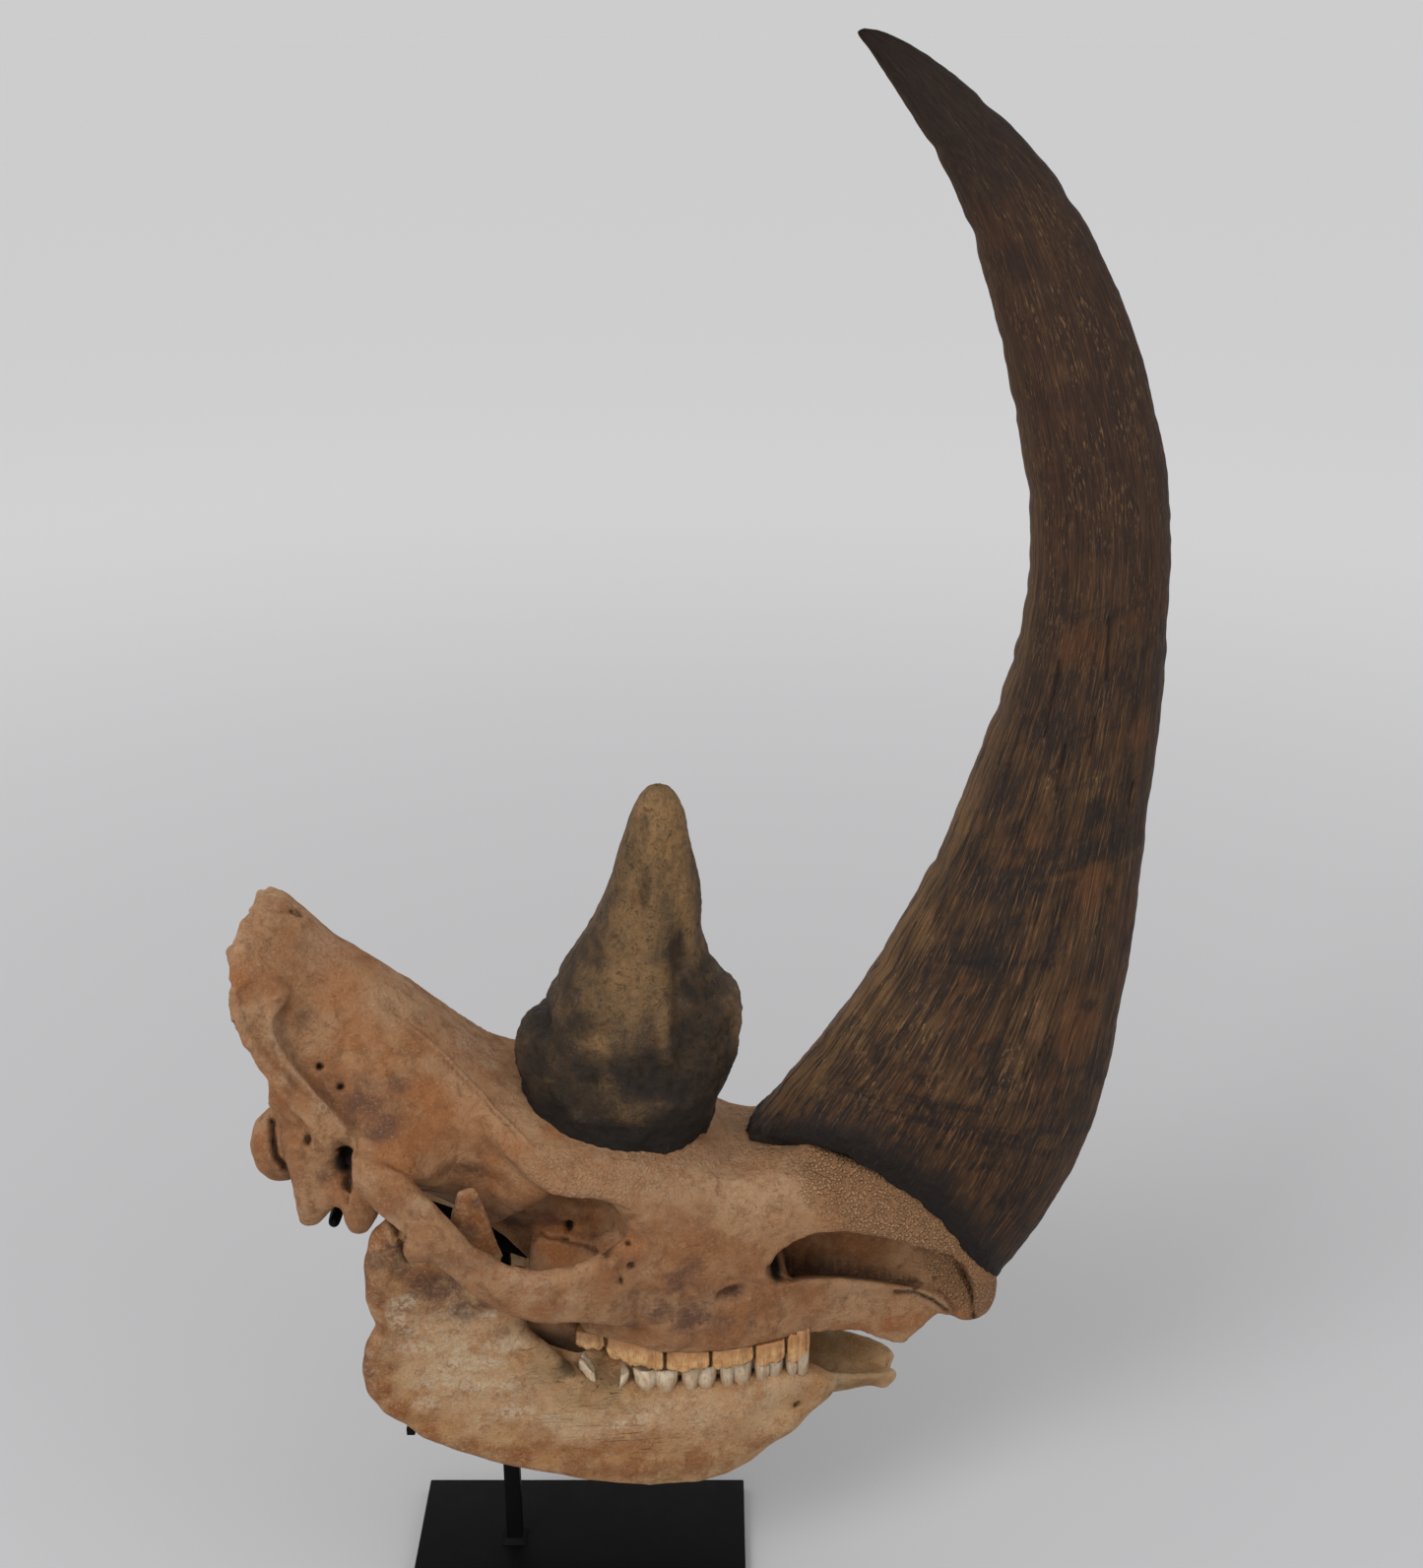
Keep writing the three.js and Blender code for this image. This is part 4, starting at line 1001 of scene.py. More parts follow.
def distance_to(obj, target):
    """Distance in millimetres from each point of obj to the surface of target."""
    tree = BVHTree.FromPolygons(
        [v.co for v in target.data.vertices], [tuple(face.vertices) for face in target.data.polygons]
    )
    return np.array([tree.find_nearest(v.co)[3] for v in obj.data.vertices]) / MM


nasal_horn, nasal_length = rolled_horn("nasal_horn_fibres", NASAL_SECTIONS, 250, 370, 0.94)
frontal_horn, frontal_length = rolled_horn("frontal_horn_fibres", FRONTAL_SECTIONS, 230, 170, 1.0)
print("lengths along the middle:", round(nasal_length), round(frontal_length), "mm")

# %% [markdown]
# ## The nasal horn
# The front horn is a tall blade that sweeps up and back. Grooves between bundles of fibres run its whole
# length, soft swellings cross it where growth slowed each year, its two edges are chipped, and long cracks
# opened as it dried. At the bed it ends in a black, frayed edge.

# %% Nasal horn relief
EDGE_STEPS = [  # places near the two edges, length in mm, depth in mm
    (1014, 722, 16, 4.0), (1027, 675, 12, 2.5), (1038, 650, 12, 2.0), (989, 240, 14, 3.0),
    (950, 152, 10, 2.5), (1038, 418, 12, 2.5), (1022, 350, 10, 2.0), (960, 890, 14, 3.0),
    (905, 985, 10, 2.5), (1044, 500, 12, 2.0), (1030, 600, 10, 1.5), (1088, 196, 14, 2.0),
    (1110, 262, 12, 1.5), (1170, 500, 12, 1.5), (1160, 700, 12, 2.0), (1144, 850, 12, 2.0),
    (1122, 1010, 14, 2.5), (1082, 1160, 14, 2.0), (1010, 100, 12, 2.0),
]
# near the bed the fibres run on to the rim, which cuts them
FIBRE_Z = [336, 385, 470, 515, 558, 600, 690, 801, 840]
FIBRE_REAR_X = [52, 85, 140, 170, 199, 231, 287, 340, 352]
FIBRE_FRONT_X = [408, 440, 480, 492, 503, 507, 516, 520, 521]
CRACKS = [
    [(1112, 729), (1107, 766)], [(1126, 628), (1124, 690)], [(1075, 672), (1071, 703), (1061, 748)],
    [(1082, 757), (1072, 803)], [(1150, 795), (1146, 818)], [(1066, 1053), (1040, 1096)],
    [(1034, 1000), (1020, 1040)],
]
horn_points, horn_normals = points_of(nasal_horn), normals_of(nasal_horn)
turn, share, across = (values_of(nasal_horn, name) for name in ["turn", "share", "across"])
rear_x = np.interp(horn_points[:, 2], FIBRE_Z, FIBRE_REAR_X)
front_x = np.interp(horn_points[:, 2], FIBRE_Z, FIBRE_FRONT_X)
cut_by_rim = np.clip((horn_points[:, 0] - rear_x) / (front_x - rear_x), 0, 1)
high_up = soft_step(horn_points[:, 2], 690, 800)
fibre_across = high_up * across + (1 - high_up) * cut_by_rim
fibre_turn = np.arccos(1 - 2 * np.clip(fibre_across, 0, 1)) * np.sign(np.sin(turn))
places = fibre_places(fibre_turn, share, nasal_length)
keep_fibre_places(nasal_horn, places)
folded = one_side(horn_points)
to_tip = soft_step(-share, -1.0, -0.8)
push = 0.5 * lumps(places * [1, 1, 0.1], 5, 61, 2) + 0.8 * lumps(places * [1, 1, 0.05], 15, 65, 2) * to_tip
push += 0.8 * lumps(places * [0.3, 0.3, 1], 60, 67, 2) * to_tip + 0.4 * lumps(horn_points, 7, 69)
edge = bell(across, 0.03) + bell(1 - across, 0.02)
push += edge * to_tip * (1.2 * lumps(places * [0, 0, 1], 22, 71, 3) - 0.3)
for u, v, reach, depth in EDGE_STEPS:
    push -= depth * spot(folded, seen(nasal_horn, [(u, v)])[0] * [1, 0, 1], (reach, 30, reach))
crack = np.zeros(len(folded))
for line in CRACKS:
    crack = np.maximum(crack, bell(line_distance(folded, seen(nasal_horn, line)), 1.5))
push -= 1.2 * crack
at_rim = np.flatnonzero(share < 1e-4)
at_rim = at_rim[np.argsort(turn[at_rim])]
above_rim = horn_points[:, 2] - np.interp(turn, turn[at_rim], horn_points[at_rim, 2])
frayed = lumps(horn_points, 15, 77, 3)
push += soft_step(-above_rim, -26, -10) * (1.5 + 2.2 * lumps(horn_points, 7, 79, 2))
moved = horn_points + push[:, None] * horn_normals
moved[:, 2] += np.exp(-np.maximum(above_rim, 0) / 12) * 5.0 * frayed
set_points(nasal_horn, moved)
paint(nasal_horn, "crack", crack)
paint(nasal_horn, "low", 1 - soft_step(above_rim * (1 + 0.4 * frayed), 20, 130))
paint(nasal_horn, "rim", 1 - soft_step(above_rim * (1 + 0.6 * frayed), 4, 34))
paint(nasal_horn, "high", soft_step(share, 0.36, 0.72))
# edge: a lighter band along the rear edge, a painted highlight where the light catches that edge.
paint(nasal_horn, "edge", bell(across, 0.07) * (1 - 0.6 * soft_step(share, 0.4, 0.8)))
paint(nasal_horn, "tip", soft_step(share * (1 + 0.05 * frayed), 0.8, 0.93))
pull(nasal_horn, [(883, 38, (14, 30, 12), (-6, 0, 3))])

HORN_GOLD = [
    (833, 1092, (10, 40, 30), 0.8), (870, 1050, (14, 40, 40), 0.8), (905, 1010, (14, 40, 40), 0.9),
    (935, 940, (14, 40, 46), 0.8), (885, 1108, (22, 40, 26), 0.6), (930, 1045, (26, 40, 46), 0.7),
    (1030, 1085, (16, 40, 40), 0.8), (1050, 1035, (16, 40, 34), 0.8), (1002, 1125, (16, 40, 30), 0.6),
    (1006, 145, 9, 0.9), (996, 188, 10, 0.9), (1046, 300, 16, 1.0), (1085, 382, 18, 0.9),
    (975, 820, (14, 40, 36), 0.9), (985, 790, (10, 40, 26), 0.9), (1110, 800, (10, 40, 16), 0.8),
    (1068, 790, (10, 40, 24), 0.6), (1070, 330, 14, 0.7), (1000, 260, 12, 0.6),
    (950, 1100, (30, 40, 30), 0.5), (1110, 950, (12, 40, 30), 0.6),
]
HORN_RED = [
    (981, 1016, (24, 40, 36), 0.8), (1064, 1108, (26, 40, 36), 0.8), (1092, 1040, (28, 40, 50), 0.9),
    (1006, 226, 24, 0.9), (1041, 332, 22, 0.9), (1076, 413, 28, 0.8), (1099, 655, 28, 1.0),
    (1165, 620, 26, 1.0), (1155, 745, 18, 0.8), (1110, 900, 28, 0.7), (1080, 560, 30, 0.7),
    (1150, 470, 24, 0.5), (930, 1100, 24, 0.6), (1060, 480, 24, 0.7), (1030, 560, 24, 0.6),
    (1040, 860, 24, 0.6), (990, 1060, 20, 0.6),
]
HORN_BLACK = [
    (925, 992, (26, 50, 38), 0.9), (860, 1078, (20, 50, 22), 0.7), (1004, 960, (34, 50, 30), 0.6),
    (1020, 906, (60, 50, 14), 0.9), (930, 75, (60, 50, 44), 0.8), (1026, 172, 18, 1.0),
    (1032, 270, 18, 0.9), (1110, 280, (34, 50, 70), 0.8), (1128, 380, (30, 50, 60), 0.8),
    (1030, 700, (36, 50, 50), 1.0), (1012, 800, (26, 50, 34), 1.0), (1075, 740, (24, 50, 30), 0.9),
    (1140, 830, (36, 50, 24), 0.8), (1060, 600, (22, 50, 36), 0.6), (1096, 500, (26, 50, 26), 0.6),
    (1120, 960, (20, 50, 46), 0.7), (1060, 440, (16, 50, 30), 0.5), (1118, 700, (12, 50, 24), 0.7),
    (1110, 555, (50, 50, 12), 0.7), (1150, 560, (20, 50, 16), 0.7), (1080, 866, (70, 50, 8), 0.7),
    (1075, 1130, (20, 50, 34), 0.6), (960, 1150, (30, 50, 20), 0.5), (780, 1132, (16, 50, 16), 0.9),
    (822, 1128, (30, 50, 26), 0.8), (1085, 330, (60, 50, 40), 0.5), (1120, 440, (30, 50, 40), 0.6),
    (1060, 640, (16, 50, 30), 0.6),
]
for name, patches in [("gold", HORN_GOLD), ("red", HORN_RED), ("black", HORN_BLACK)]:
    paint_seen(nasal_horn, name, patches)
print("nasal horn has", triangles_in(nasal_horn), "triangles")

# %% [markdown]
# ## The frontal horn
# The rear horn is short and lumpy, more like a cinder than a blade: swollen lobes round a rough black base,
# hollows that run up between them, and a blunt worn tip.

# %% Frontal horn relief
FRONTAL_SPOTS = [
    (541, 1026, (20, 80, 22), -17.0), (560, 985, (16, 80, 18), -5.0), (531, 1082, (16, 60, 12), 4.0),
    (530, 1098, (8, 60, 7), -3.0), (700, 1060, (26, 24, 54), -7.0), (735, 1020, (18, 30, 26), 4.0),
    (745, 1006, (16, 60, 15), 4.5), (752, 1052, (12, 60, 22), -4.0), (722, 978, (10, 60, 12), -2.5),
    (690, 985, (14, 20, 34), -4.5), (655, 1090, (30, 24, 26), -6.0), (640, 1130, (34, 30, 20), 3.5),
    (590, 1070, (20, 20, 20), -2.5), (570, 1112, (22, 30, 18), 4.0), (600, 1030, (24, 20, 34), 3.0),
    (705, 1120, (18, 30, 20), 3.5), (560, 1110, 9, -3.0), (610, 1150, 12, -3.5), (724, 1075, 9, 3.0),
    (602, 1100, 10, -3.5), (750, 1042, (8, 40, 7), -4.0), (545, 1060, 10, 2.5), (585, 1135, 12, 3.5),
    (650, 1155, 14, 3.5), (740, 1060, (10, 40, 12), 2.0),
]
FRONTAL_STROKES = [
    ([(664, 850), (666, 900), (668, 950), (672, 1000), (676, 1040), (680, 1078)], 9.0, 4.0),
    ([(645, 870), (640, 920), (628, 980)], 8.0, -1.8),
    ([(690, 900), (694, 960), (700, 1010)], 7.0, -2.0),
]
sculpt(frontal_horn, FRONTAL_SPOTS, FRONTAL_STROKES)
pull(frontal_horn, [(700, 1155, (34, 60, 26), (0, 0, 9)), (735, 1120, (20, 60, 30), (-5, 0, 3))])
horn_points, horn_normals = points_of(frontal_horn), normals_of(frontal_horn)
places = fibre_places(values_of(frontal_horn, "turn"), values_of(frontal_horn, "share"), frontal_length)
keep_fibre_places(frontal_horn, places)
share = values_of(frontal_horn, "share")
low = soft_step(-share, -0.62, -0.3)
push = low * 3.4 * lumps(horn_points, 32, 81, 2) + low * 2.0 * lumps(horn_points, 13, 83, 2)
push += (1 - low) * soft_step(-share, -1, -0.8) * 1.5 * lumps(places * [1, 1, 0.3], 26, 85, 2)
push += 0.9 * lumps(places * [1, 1, 0.5], 9, 87, 2) + (0.5 + 0.5 * low) * lumps(horn_points, 4.5, 89)
from_bone = distance_to(frontal_horn, cranium)
lip = bell(from_bone, 15) * soft_step(-share, -0.45, -0.3)
push += lip * (2.0 + 3.6 * lumps(horn_points, 22, 91, 2) + 1.0 * lumps(horn_points, 7, 93))
set_points(frontal_horn, horn_points + push[:, None] * horn_normals)
FRONTAL_BLACK = [
    (658, 1090, (38, 40, 36), 1.0), (706, 1065, (34, 40, 80), 1.0), (714, 1003, (34, 40, 26), 1.0),
    (548, 1124, (46, 80, 38), 1.0), (610, 1164, (80, 80, 30), 1.0), (696, 1140, (60, 80, 40), 1.0),
    (545, 1075, (20, 60, 36), 0.8), (593, 1084, (22, 24, 22), 0.9), (588, 1040, (26, 24, 16), 0.8),
    (556, 1030, (28, 60, 36), 0.9), (655, 905, (7, 14, 26), 0.7), (574, 1088, (18, 24, 22), 0.8),
    (735, 1085, (22, 60, 40), 0.9), (600, 965, (22, 30, 18), 0.5), (688, 968, (14, 20, 32), 0.8),
    (655, 840, (6, 14, 30), 0.5), (645, 1160, (60, 40, 24), 1.0), (576, 985, (12, 60, 50), 0.7),
    (722, 1040, (24, 60, 50), 0.9), (700, 1100, (40, 60, 30), 1.0), (716, 990, (24, 60, 18), 1.0),
    (638, 1085, (22, 40, 22), 0.9), (560, 1060, (22, 60, 24), 0.7), (600, 1120, (26, 40, 24), 0.8),
    (540, 1090, (20, 60, 30), 0.8),
]
FRONTAL_LIGHT = [
    (666, 850, (26, 40, 34), 1.0), (650, 930, (28, 40, 50), 0.65), (690, 900, (16, 30, 50), 0.9),
    (640, 990, (28, 40, 46), 0.6), (604, 1055, (20, 20, 22), 0.75), (674, 1050, (8, 20, 44), 0.45),
    (640, 1130, (30, 40, 18), 0.5), (724, 986, (20, 40, 7), 0.8), (748, 1050, (8, 40, 34), 0.8),
    (612, 1105, (14, 20, 22), 1.0), (560, 1070, (10, 20, 14), 0.6), (662, 822, (26, 40, 20), 1.0),
    (700, 940, (10, 20, 40), 0.8), (600, 1080, (12, 20, 14), 0.7), (664, 1125, (14, 20, 8), 0.7),
    (680, 845, (34, 60, 44), 1.0), (668, 1000, (14, 20, 30), 0.4),
]
paint_seen(frontal_horn, "black", FRONTAL_BLACK)
paint_seen(frontal_horn, "light", FRONTAL_LIGHT)
rim_reach = 26 * (1 + 0.7 * lumps(horn_points, 24, 95, 3))
low_reach = 1 + 0.5 * lumps(horn_points, 30, 97, 3)
paint(frontal_horn, "low", 1 - soft_step(from_bone * low_reach, 62, 118))
paint(
    frontal_horn, "rim", (1 - soft_step(from_bone / rim_reach, 0.6, 1.2)) * soft_step(-share, -0.66, -0.5)
)
# The hollows between the lobes are painted darker: painted shade.
paint_hollows(frontal_horn, 0.8, 5.0)
print("frontal horn has", triangles_in(frontal_horn), "triangles")


# %% [markdown]
# ## Horn as a material
# Streaks along the fibres come from noise that is stretched along the horn: black-brown, red-brown and
# golden tan. Blurred dark bands cross them. The frontal horn has the same kind of layers, but blotched and
# grainy.

# %% Nasal horn material
def streak_node(tree, fibre, width_mm, length_mm, detail=4.0, rough=0.6):
    """Noise stretched along the fibres."""
    scale = (1 / (width_mm * MM), 1 / (width_mm * MM), 1 / (length_mm * MM))
    stretched = add_node(tree, "Mapping", {"Vector": fibre, "Scale": scale}).outputs[0]
    inputs = {"Vector": stretched, "Scale": 1.0, "Detail": detail, "Roughness": rough}
    return add_node(tree, "TexNoise", inputs).outputs[0]


def nasal_horn_material():
    made = new_material("fibres_of_the_nasal_horn")
    tree = made.node_tree
    fibre = add_node(tree, "Attribute", attribute_name="fibre", attribute_type="GEOMETRY").outputs["Vector"]
    hair = streak_node(tree, fibre, 0.9, 34, 3, 0.65)
    strand = streak_node(tree, fibre, 2.6, 80, 4, 0.62)
    bundle = streak_node(tree, fibre, 9, 170, 5, 0.6)
    cloud = streak_node(tree, fibre, 20, 50, 4, 0.6)
    band = streak_node(tree, fibre, 90, 26, 3, 0.6)
    scratch = streak_node(tree, fibre, 1.4, 10, 4, 0.7)
    look = mixed(
        tree, graded(tree, bundle, 0.4, 0.6), colour(0.027, 0.017, 0.012), colour(0.058, 0.03, 0.0155)
    )
    look = mixed(tree, graded(tree, strand, 0.46, 0.64, 0, 0.6), look, colour(0.095, 0.047, 0.021))
    look = layered(tree, look, [
        (colour(0.11, 0.042, 0.017), 0.65, "red", bundle, 0.35, 0.55, 0.35, 1.0),
        (colour(0.155, 0.082, 0.034), 0.8, "gold", strand, 0.42, 0.6, 0.1, 1.0),
    ])
    look = mixed(tree, graded(tree, cloud, 0.5, 0.64, 0, 0.8), look, colour(0.017, 0.0125, 0.011))
    look = mixed(tree, graded(tree, band, 0.52, 0.66, 0, 0.7), look, colour(0.016, 0.0125, 0.0115))
    look = layered(tree, look, [
        (colour(0.018, 0.0135, 0.0125), 0.88, "black", strand, 0.66, 0.4, 0.6, 1.0),
        (colour(0.034, 0.0195, 0.0145), 0.5, "high", None),
    ])
    bright = product(
        tree, graded(tree, scratch, 0.56, 0.68), graded(tree, painted(tree, "gold"), 0.0, 0.8, 0.25, 1.0)
    )
    look = mixed(tree, product(tree, bright, 0.7), look, colour(0.27, 0.155, 0.07))
    look = mixed(tree, graded(tree, hair, 0.54, 0.7, 0, 0.8), look, colour(0.17, 0.085, 0.036))
    look = mixed(tree, graded(tree, hair, 0.48, 0.32, 0, 0.75), look, colour(0.01, 0.007, 0.0055))
    look = mixed(tree, product(tree, painted(tree, "high"), 0.36), look, colour(0.04, 0.0195, 0.013))
    clump = product(tree, graded(tree, scratch, 0.54, 0.66), graded(tree, cloud, 0.44, 0.56))
    look = mixed(
        tree, product(tree, clump, product(tree, painted(tree, "high"), 0.8)), look,
        colour(0.2, 0.11, 0.047),
    )
    look = layered(tree, look, [
        (colour(0.022, 0.0155, 0.0135), 0.7, "tip", None),
        # edge: painted highlight along the rear edge
        (colour(0.17, 0.095, 0.043), 0.6, "edge", strand, 0.4, 0.56),
        (colour(0.006, 0.004, 0.003), 0.8, "crack", None),
    ])
    look = mixed(tree, product(tree, painted(tree, "low"), 0.7), look, colour(0.65, 0.58, 0.58), "MULTIPLY")
    look = layered(tree, look, [(colour(0.0145, 0.0115, 0.0105), 1, "rim", cloud, 0.66, 0.44, 0.7, 1.0)])
    roughness = graded(tree, strand, 0.3, 0.7, 0.5, 0.7)
    place = add_node(tree, "TexCoord").outputs["Object"]
    normal = bumped(tree, strand, 1.6)
    normal = bumped(tree, hair, 0.8, normal)
    normal = bumped(
        tree, product(tree, noise_node(tree, place, 7, 5, 0.7), painted(tree, "rim")), 5.0, normal
    )
    return finish_material(made, look, roughness, normal, 0.14)


# %% Frontal horn material
def frontal_horn_material():
    made = new_material("grain_of_the_frontal_horn")
    tree = made.node_tree
    fibre = add_node(tree, "Attribute", attribute_name="fibre", attribute_type="GEOMETRY").outputs["Vector"]
    place = add_node(tree, "TexCoord").outputs["Object"]
    blotch = noise_node(tree, place, 24, 6, 0.68, 0.6)
    mottle = noise_node(tree, place, 8, 6, 0.72, 0.5)
    grit = noise_node(tree, place, 2.2, 4, 0.72)
    strand = streak_node(tree, fibre, 5, 40, 4)
    dapple = noise_node(tree, place, 11, 6, 0.7, 0.6)
    look = mixed(
        tree, graded(tree, blotch, 0.42, 0.6), colour(0.066, 0.043, 0.025), colour(0.138, 0.08, 0.037)
    )
    look = mixed(tree, graded(tree, strand, 0.48, 0.64, 0, 0.35), look, colour(0.15, 0.098, 0.054))
    look = layered(tree, look, [
        (colour(0.3, 0.17, 0.07), 0.85, "light", mottle, 0.34, 0.56, 0.3, 1.0),
        (colour(0.22, 0.135, 0.066), 0.4, "ridge", None),
    ])
    look = mixed(tree, graded(tree, dapple, 0.54, 0.66, 0, 0.6), look, colour(0.13, 0.058, 0.022))
    look = mixed(tree, graded(tree, dapple, 0.46, 0.34, 0, 0.6), look, colour(0.08, 0.06, 0.038))
    look = layered(tree, look, [(colour(0.032, 0.0215, 0.014), 0.85, "low", blotch, 0.6, 0.4, 0.62, 1.0)])
    look = mixed(tree, graded(tree, mottle, 0.52, 0.64, 0, 0.62), look, colour(0.036, 0.0235, 0.015))
    look = layered(tree, look, [
        (colour(0.018, 0.0135, 0.011), 0.95, "black", mottle, 0.62, 0.36, 0.6, 1.0),
        (colour(0.014, 0.0115, 0.01), 1, "rim", mottle, 0.65, 0.4, 0.75, 1.0),
        # hollow: painted shade between the lobes
        (colour(0.013, 0.01, 0.008), 0.7, "hollow", None),
    ])
    look = mixed(tree, graded(tree, grit, 0.54, 0.7, 0, 0.45), look, colour(0.03, 0.018, 0.01))
    pale_grit = product(
        tree, graded(tree, grit, 0.46, 0.3, 0, 0.4), product(tree, 1.0, painted(tree, "black"), "SUBTRACT")
    )
    look = mixed(tree, pale_grit, look, colour(0.27, 0.16, 0.075))
    roughness = graded(tree, mottle, 0.3, 0.7, 0.5, 0.8)
    normal = bumped(tree, mottle, 3.2)
    normal = bumped(tree, grit, 1.0, normal)
    return finish_material(made, look, roughness, normal, 0.16)


nasal_horn.data.materials.append(nasal_horn_material())
frontal_horn.data.materials.append(frontal_horn_material())
for piece, node in [(nasal_horn, "nasal_horn"), (frontal_horn, "frontal_horn")]:
    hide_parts(node)
    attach(piece, "root")
    select_only(piece)
    bpy.ops.object.shade_smooth()
print("horns are placed")

# %% [markdown]
# ## Cheek teeth
# Twelve upper and twelve lower teeth stand in tight rows. The upper crowns are flat-faced and stained
# orange, with upright folds. The lower ones are cream white, each of two rounded lobes that narrow to the
# root. Every tooth is sculpted on its own solid, in shares of its own length and height, so all follow
# their jaw.

# %% Teeth
TOOTH_SQUARE = 1.25
TOOTH_PLACES = {  # rear and front end along the row, then how far the crown's edge moves down at either end
    "upper_molar_3": (6.8, 34.9, -5, -4), "upper_molar_2": (35.5, 91.1, -15, 3),
    "upper_molar_1": (91.7, 134.1, 2, 1),
    "upper_premolar_4": (134.7, 175.6, 3, 0), "upper_premolar_3": (176.2, 205.6, 8, 6),
    "upper_premolar_2": (206.2, 229.7, 12, 2), "lower_molar_3": (8.8, 57.2, -3, 0),
    "lower_molar_2": (60.2, 104.5, 1, 6),
    "lower_molar_1": (105.1, 141.0, 2, 2), "lower_premolar_4": (141.6, 174.4, 4, 5),
    "lower_premolar_3": (175.0, 204.8, 4, 5), "lower_premolar_2": (205.4, 229.7, 3, 3),
}


def tooth_piece(node):
    made = copy_of(node, node + "_crown")
    reskin(made, TOOTH_SQUARE)
    points = relaxed(points_of(made), edges_of(made), 4)
    set_points(made, relaxed(points, edges_of(made), 2, keep_size=False))
    points, normals = points_of(made), normals_of(made)
    low, high = points.min(0), points.max(0)
    side = np.sign(points[:, 1].mean())
    along = (points[:, 0] - low[0]) / (high[0] - low[0])
    upper = node.startswith("upper")
    from_root = (high[2] - points[:, 2] if upper else points[:, 2] - low[2]) / (high[2] - low[2])
    outer = soft_step(normals[:, 1] * side, 0.1, 0.6)
    seed = sum(map(ord, node))
    rear, front, down_rear, down_front = TOOTH_PLACES[node.rsplit("_", 1)[0]]
    from_end = np.minimum(along, 1 - along) * (front - rear)
    if not upper:
        out_side = soft_step(
            points[:, 1] * side, abs(0.5 * (low + high)[1]), abs(0.5 * (low + high)[1]) + 5
        )
        swelling = 2.6 * bell(along - 0.5, 0.13) + 1.2 * bell(from_end, 3)
        points[:, 1] += side * out_side * swelling
    push = 0.4 * lumps(points, 7, seed, 2)
    waver = 0.12 * lumps(points, 20, seed + 3)
    if upper:
        folds = np.cos(2 * np.pi * (along * 3.0 + waver))
        push += outer * (1.1 * folds + 1.4 * np.sin(np.pi * from_root))
        push -= 1.2 * soft_step(from_root, 0.86, 1.0) * outer
    else:
        push += outer * (1.4 * np.sin(np.pi * np.clip(from_root * 1.1, 0, 1)))
        groove = bell(along - 0.5 + waver, 0.035 + 0.035 * from_root)
        facets = 0.5 * np.cos(2 * np.pi * (along * 4 + waver))
        push += outer * (facets - 2.0 * groove) - 0.4 * soft_step(-from_root, -0.42, -0.1)
    points = points + push[:, None] * normals
    down = (1 - along) * down_rear + along * down_front
    scallops = (
        1.6 * np.cos(2 * np.pi * (along * 2.5 + waver)) + 1.2 * lumps(points * [1, 0, 0], 9, seed + 7)
    )
    if upper:
        corner = 6.0 * bell(from_end, 3.2)
        points[:, 2] -= soft_step(from_root, 0.2, 1.0) * (down + 1.2 * scallops - corner)
        across_mm = along * (front - rear)
        seam = 0.22 * soft_step(-folds, 0.55, 1.0) * outer * (0.5 + lumps(points, 6, seed + 9, 2))
    else:
        lobe = np.abs(2 * ((2 * along) % 1) - 1)
        lift = out_side * soft_step(-from_root, -0.5, -0.1) * 3.6 * lobe**4
        points[:, 2] += lift - soft_step(-from_root, -0.9, 0.0) * (down + 0.6 * scallops)
        narrow = 1 - 0.17 * out_side * (1 - from_root) ** 1.5
        across_mm = (0.5 + (along - 0.5) * narrow) * (front - rear)
        seam = 0.6 * bell((along - 0.5 + waver) * (front - rear), 1.0) * outer * (1 - 0.6 * from_root)
        seam = np.maximum(seam, 0.7 * soft_step(-from_root, -0.2, -0.04) * outer)
    points[:, 0] = rear + across_mm
    seam = np.maximum(np.clip(seam, 0, 1), 0.75 * bell(from_end, 1.3))
    if node == "lower_molar_3_right":
        height = points[:, 2] - points[:, 2].min()
        broken_away = soft_step(points[:, 0], 24, 27) * soft_step(-points[:, 0], -49.5, -47)
        points[:, 2] -= height * (0.85 * broken_away + 0.2 * soft_step(points[:, 0], 47, 50))
        points[:, 2] += height * (0.5 + 0.15 * lumps(points, 5, 41, 2)) * soft_step(-points[:, 0], -26, -12)
    set_points(made, points)
    paint(made, "rootward", 1 - soft_step(from_root, 0.28, 0.72))
    paint(made, "seam", seam)
    # hollow darkens the hollows of the crown as painted shade.
    paint_hollows(made, 0.4, 1.6)
    return made


tooth_pieces = {node: tooth_piece(node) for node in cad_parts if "molar" in node}
print(
    "teeth:", len(tooth_pieces), "with", sum(map(triangles_in, tooth_pieces.values())), "triangles in all"
)


# %% [markdown]
# ## Enamel
# Enamel has a soft gloss under its stains. Fine upright lines run from root to tip, the root end and the
# folds are browner, and each row has its own tone.

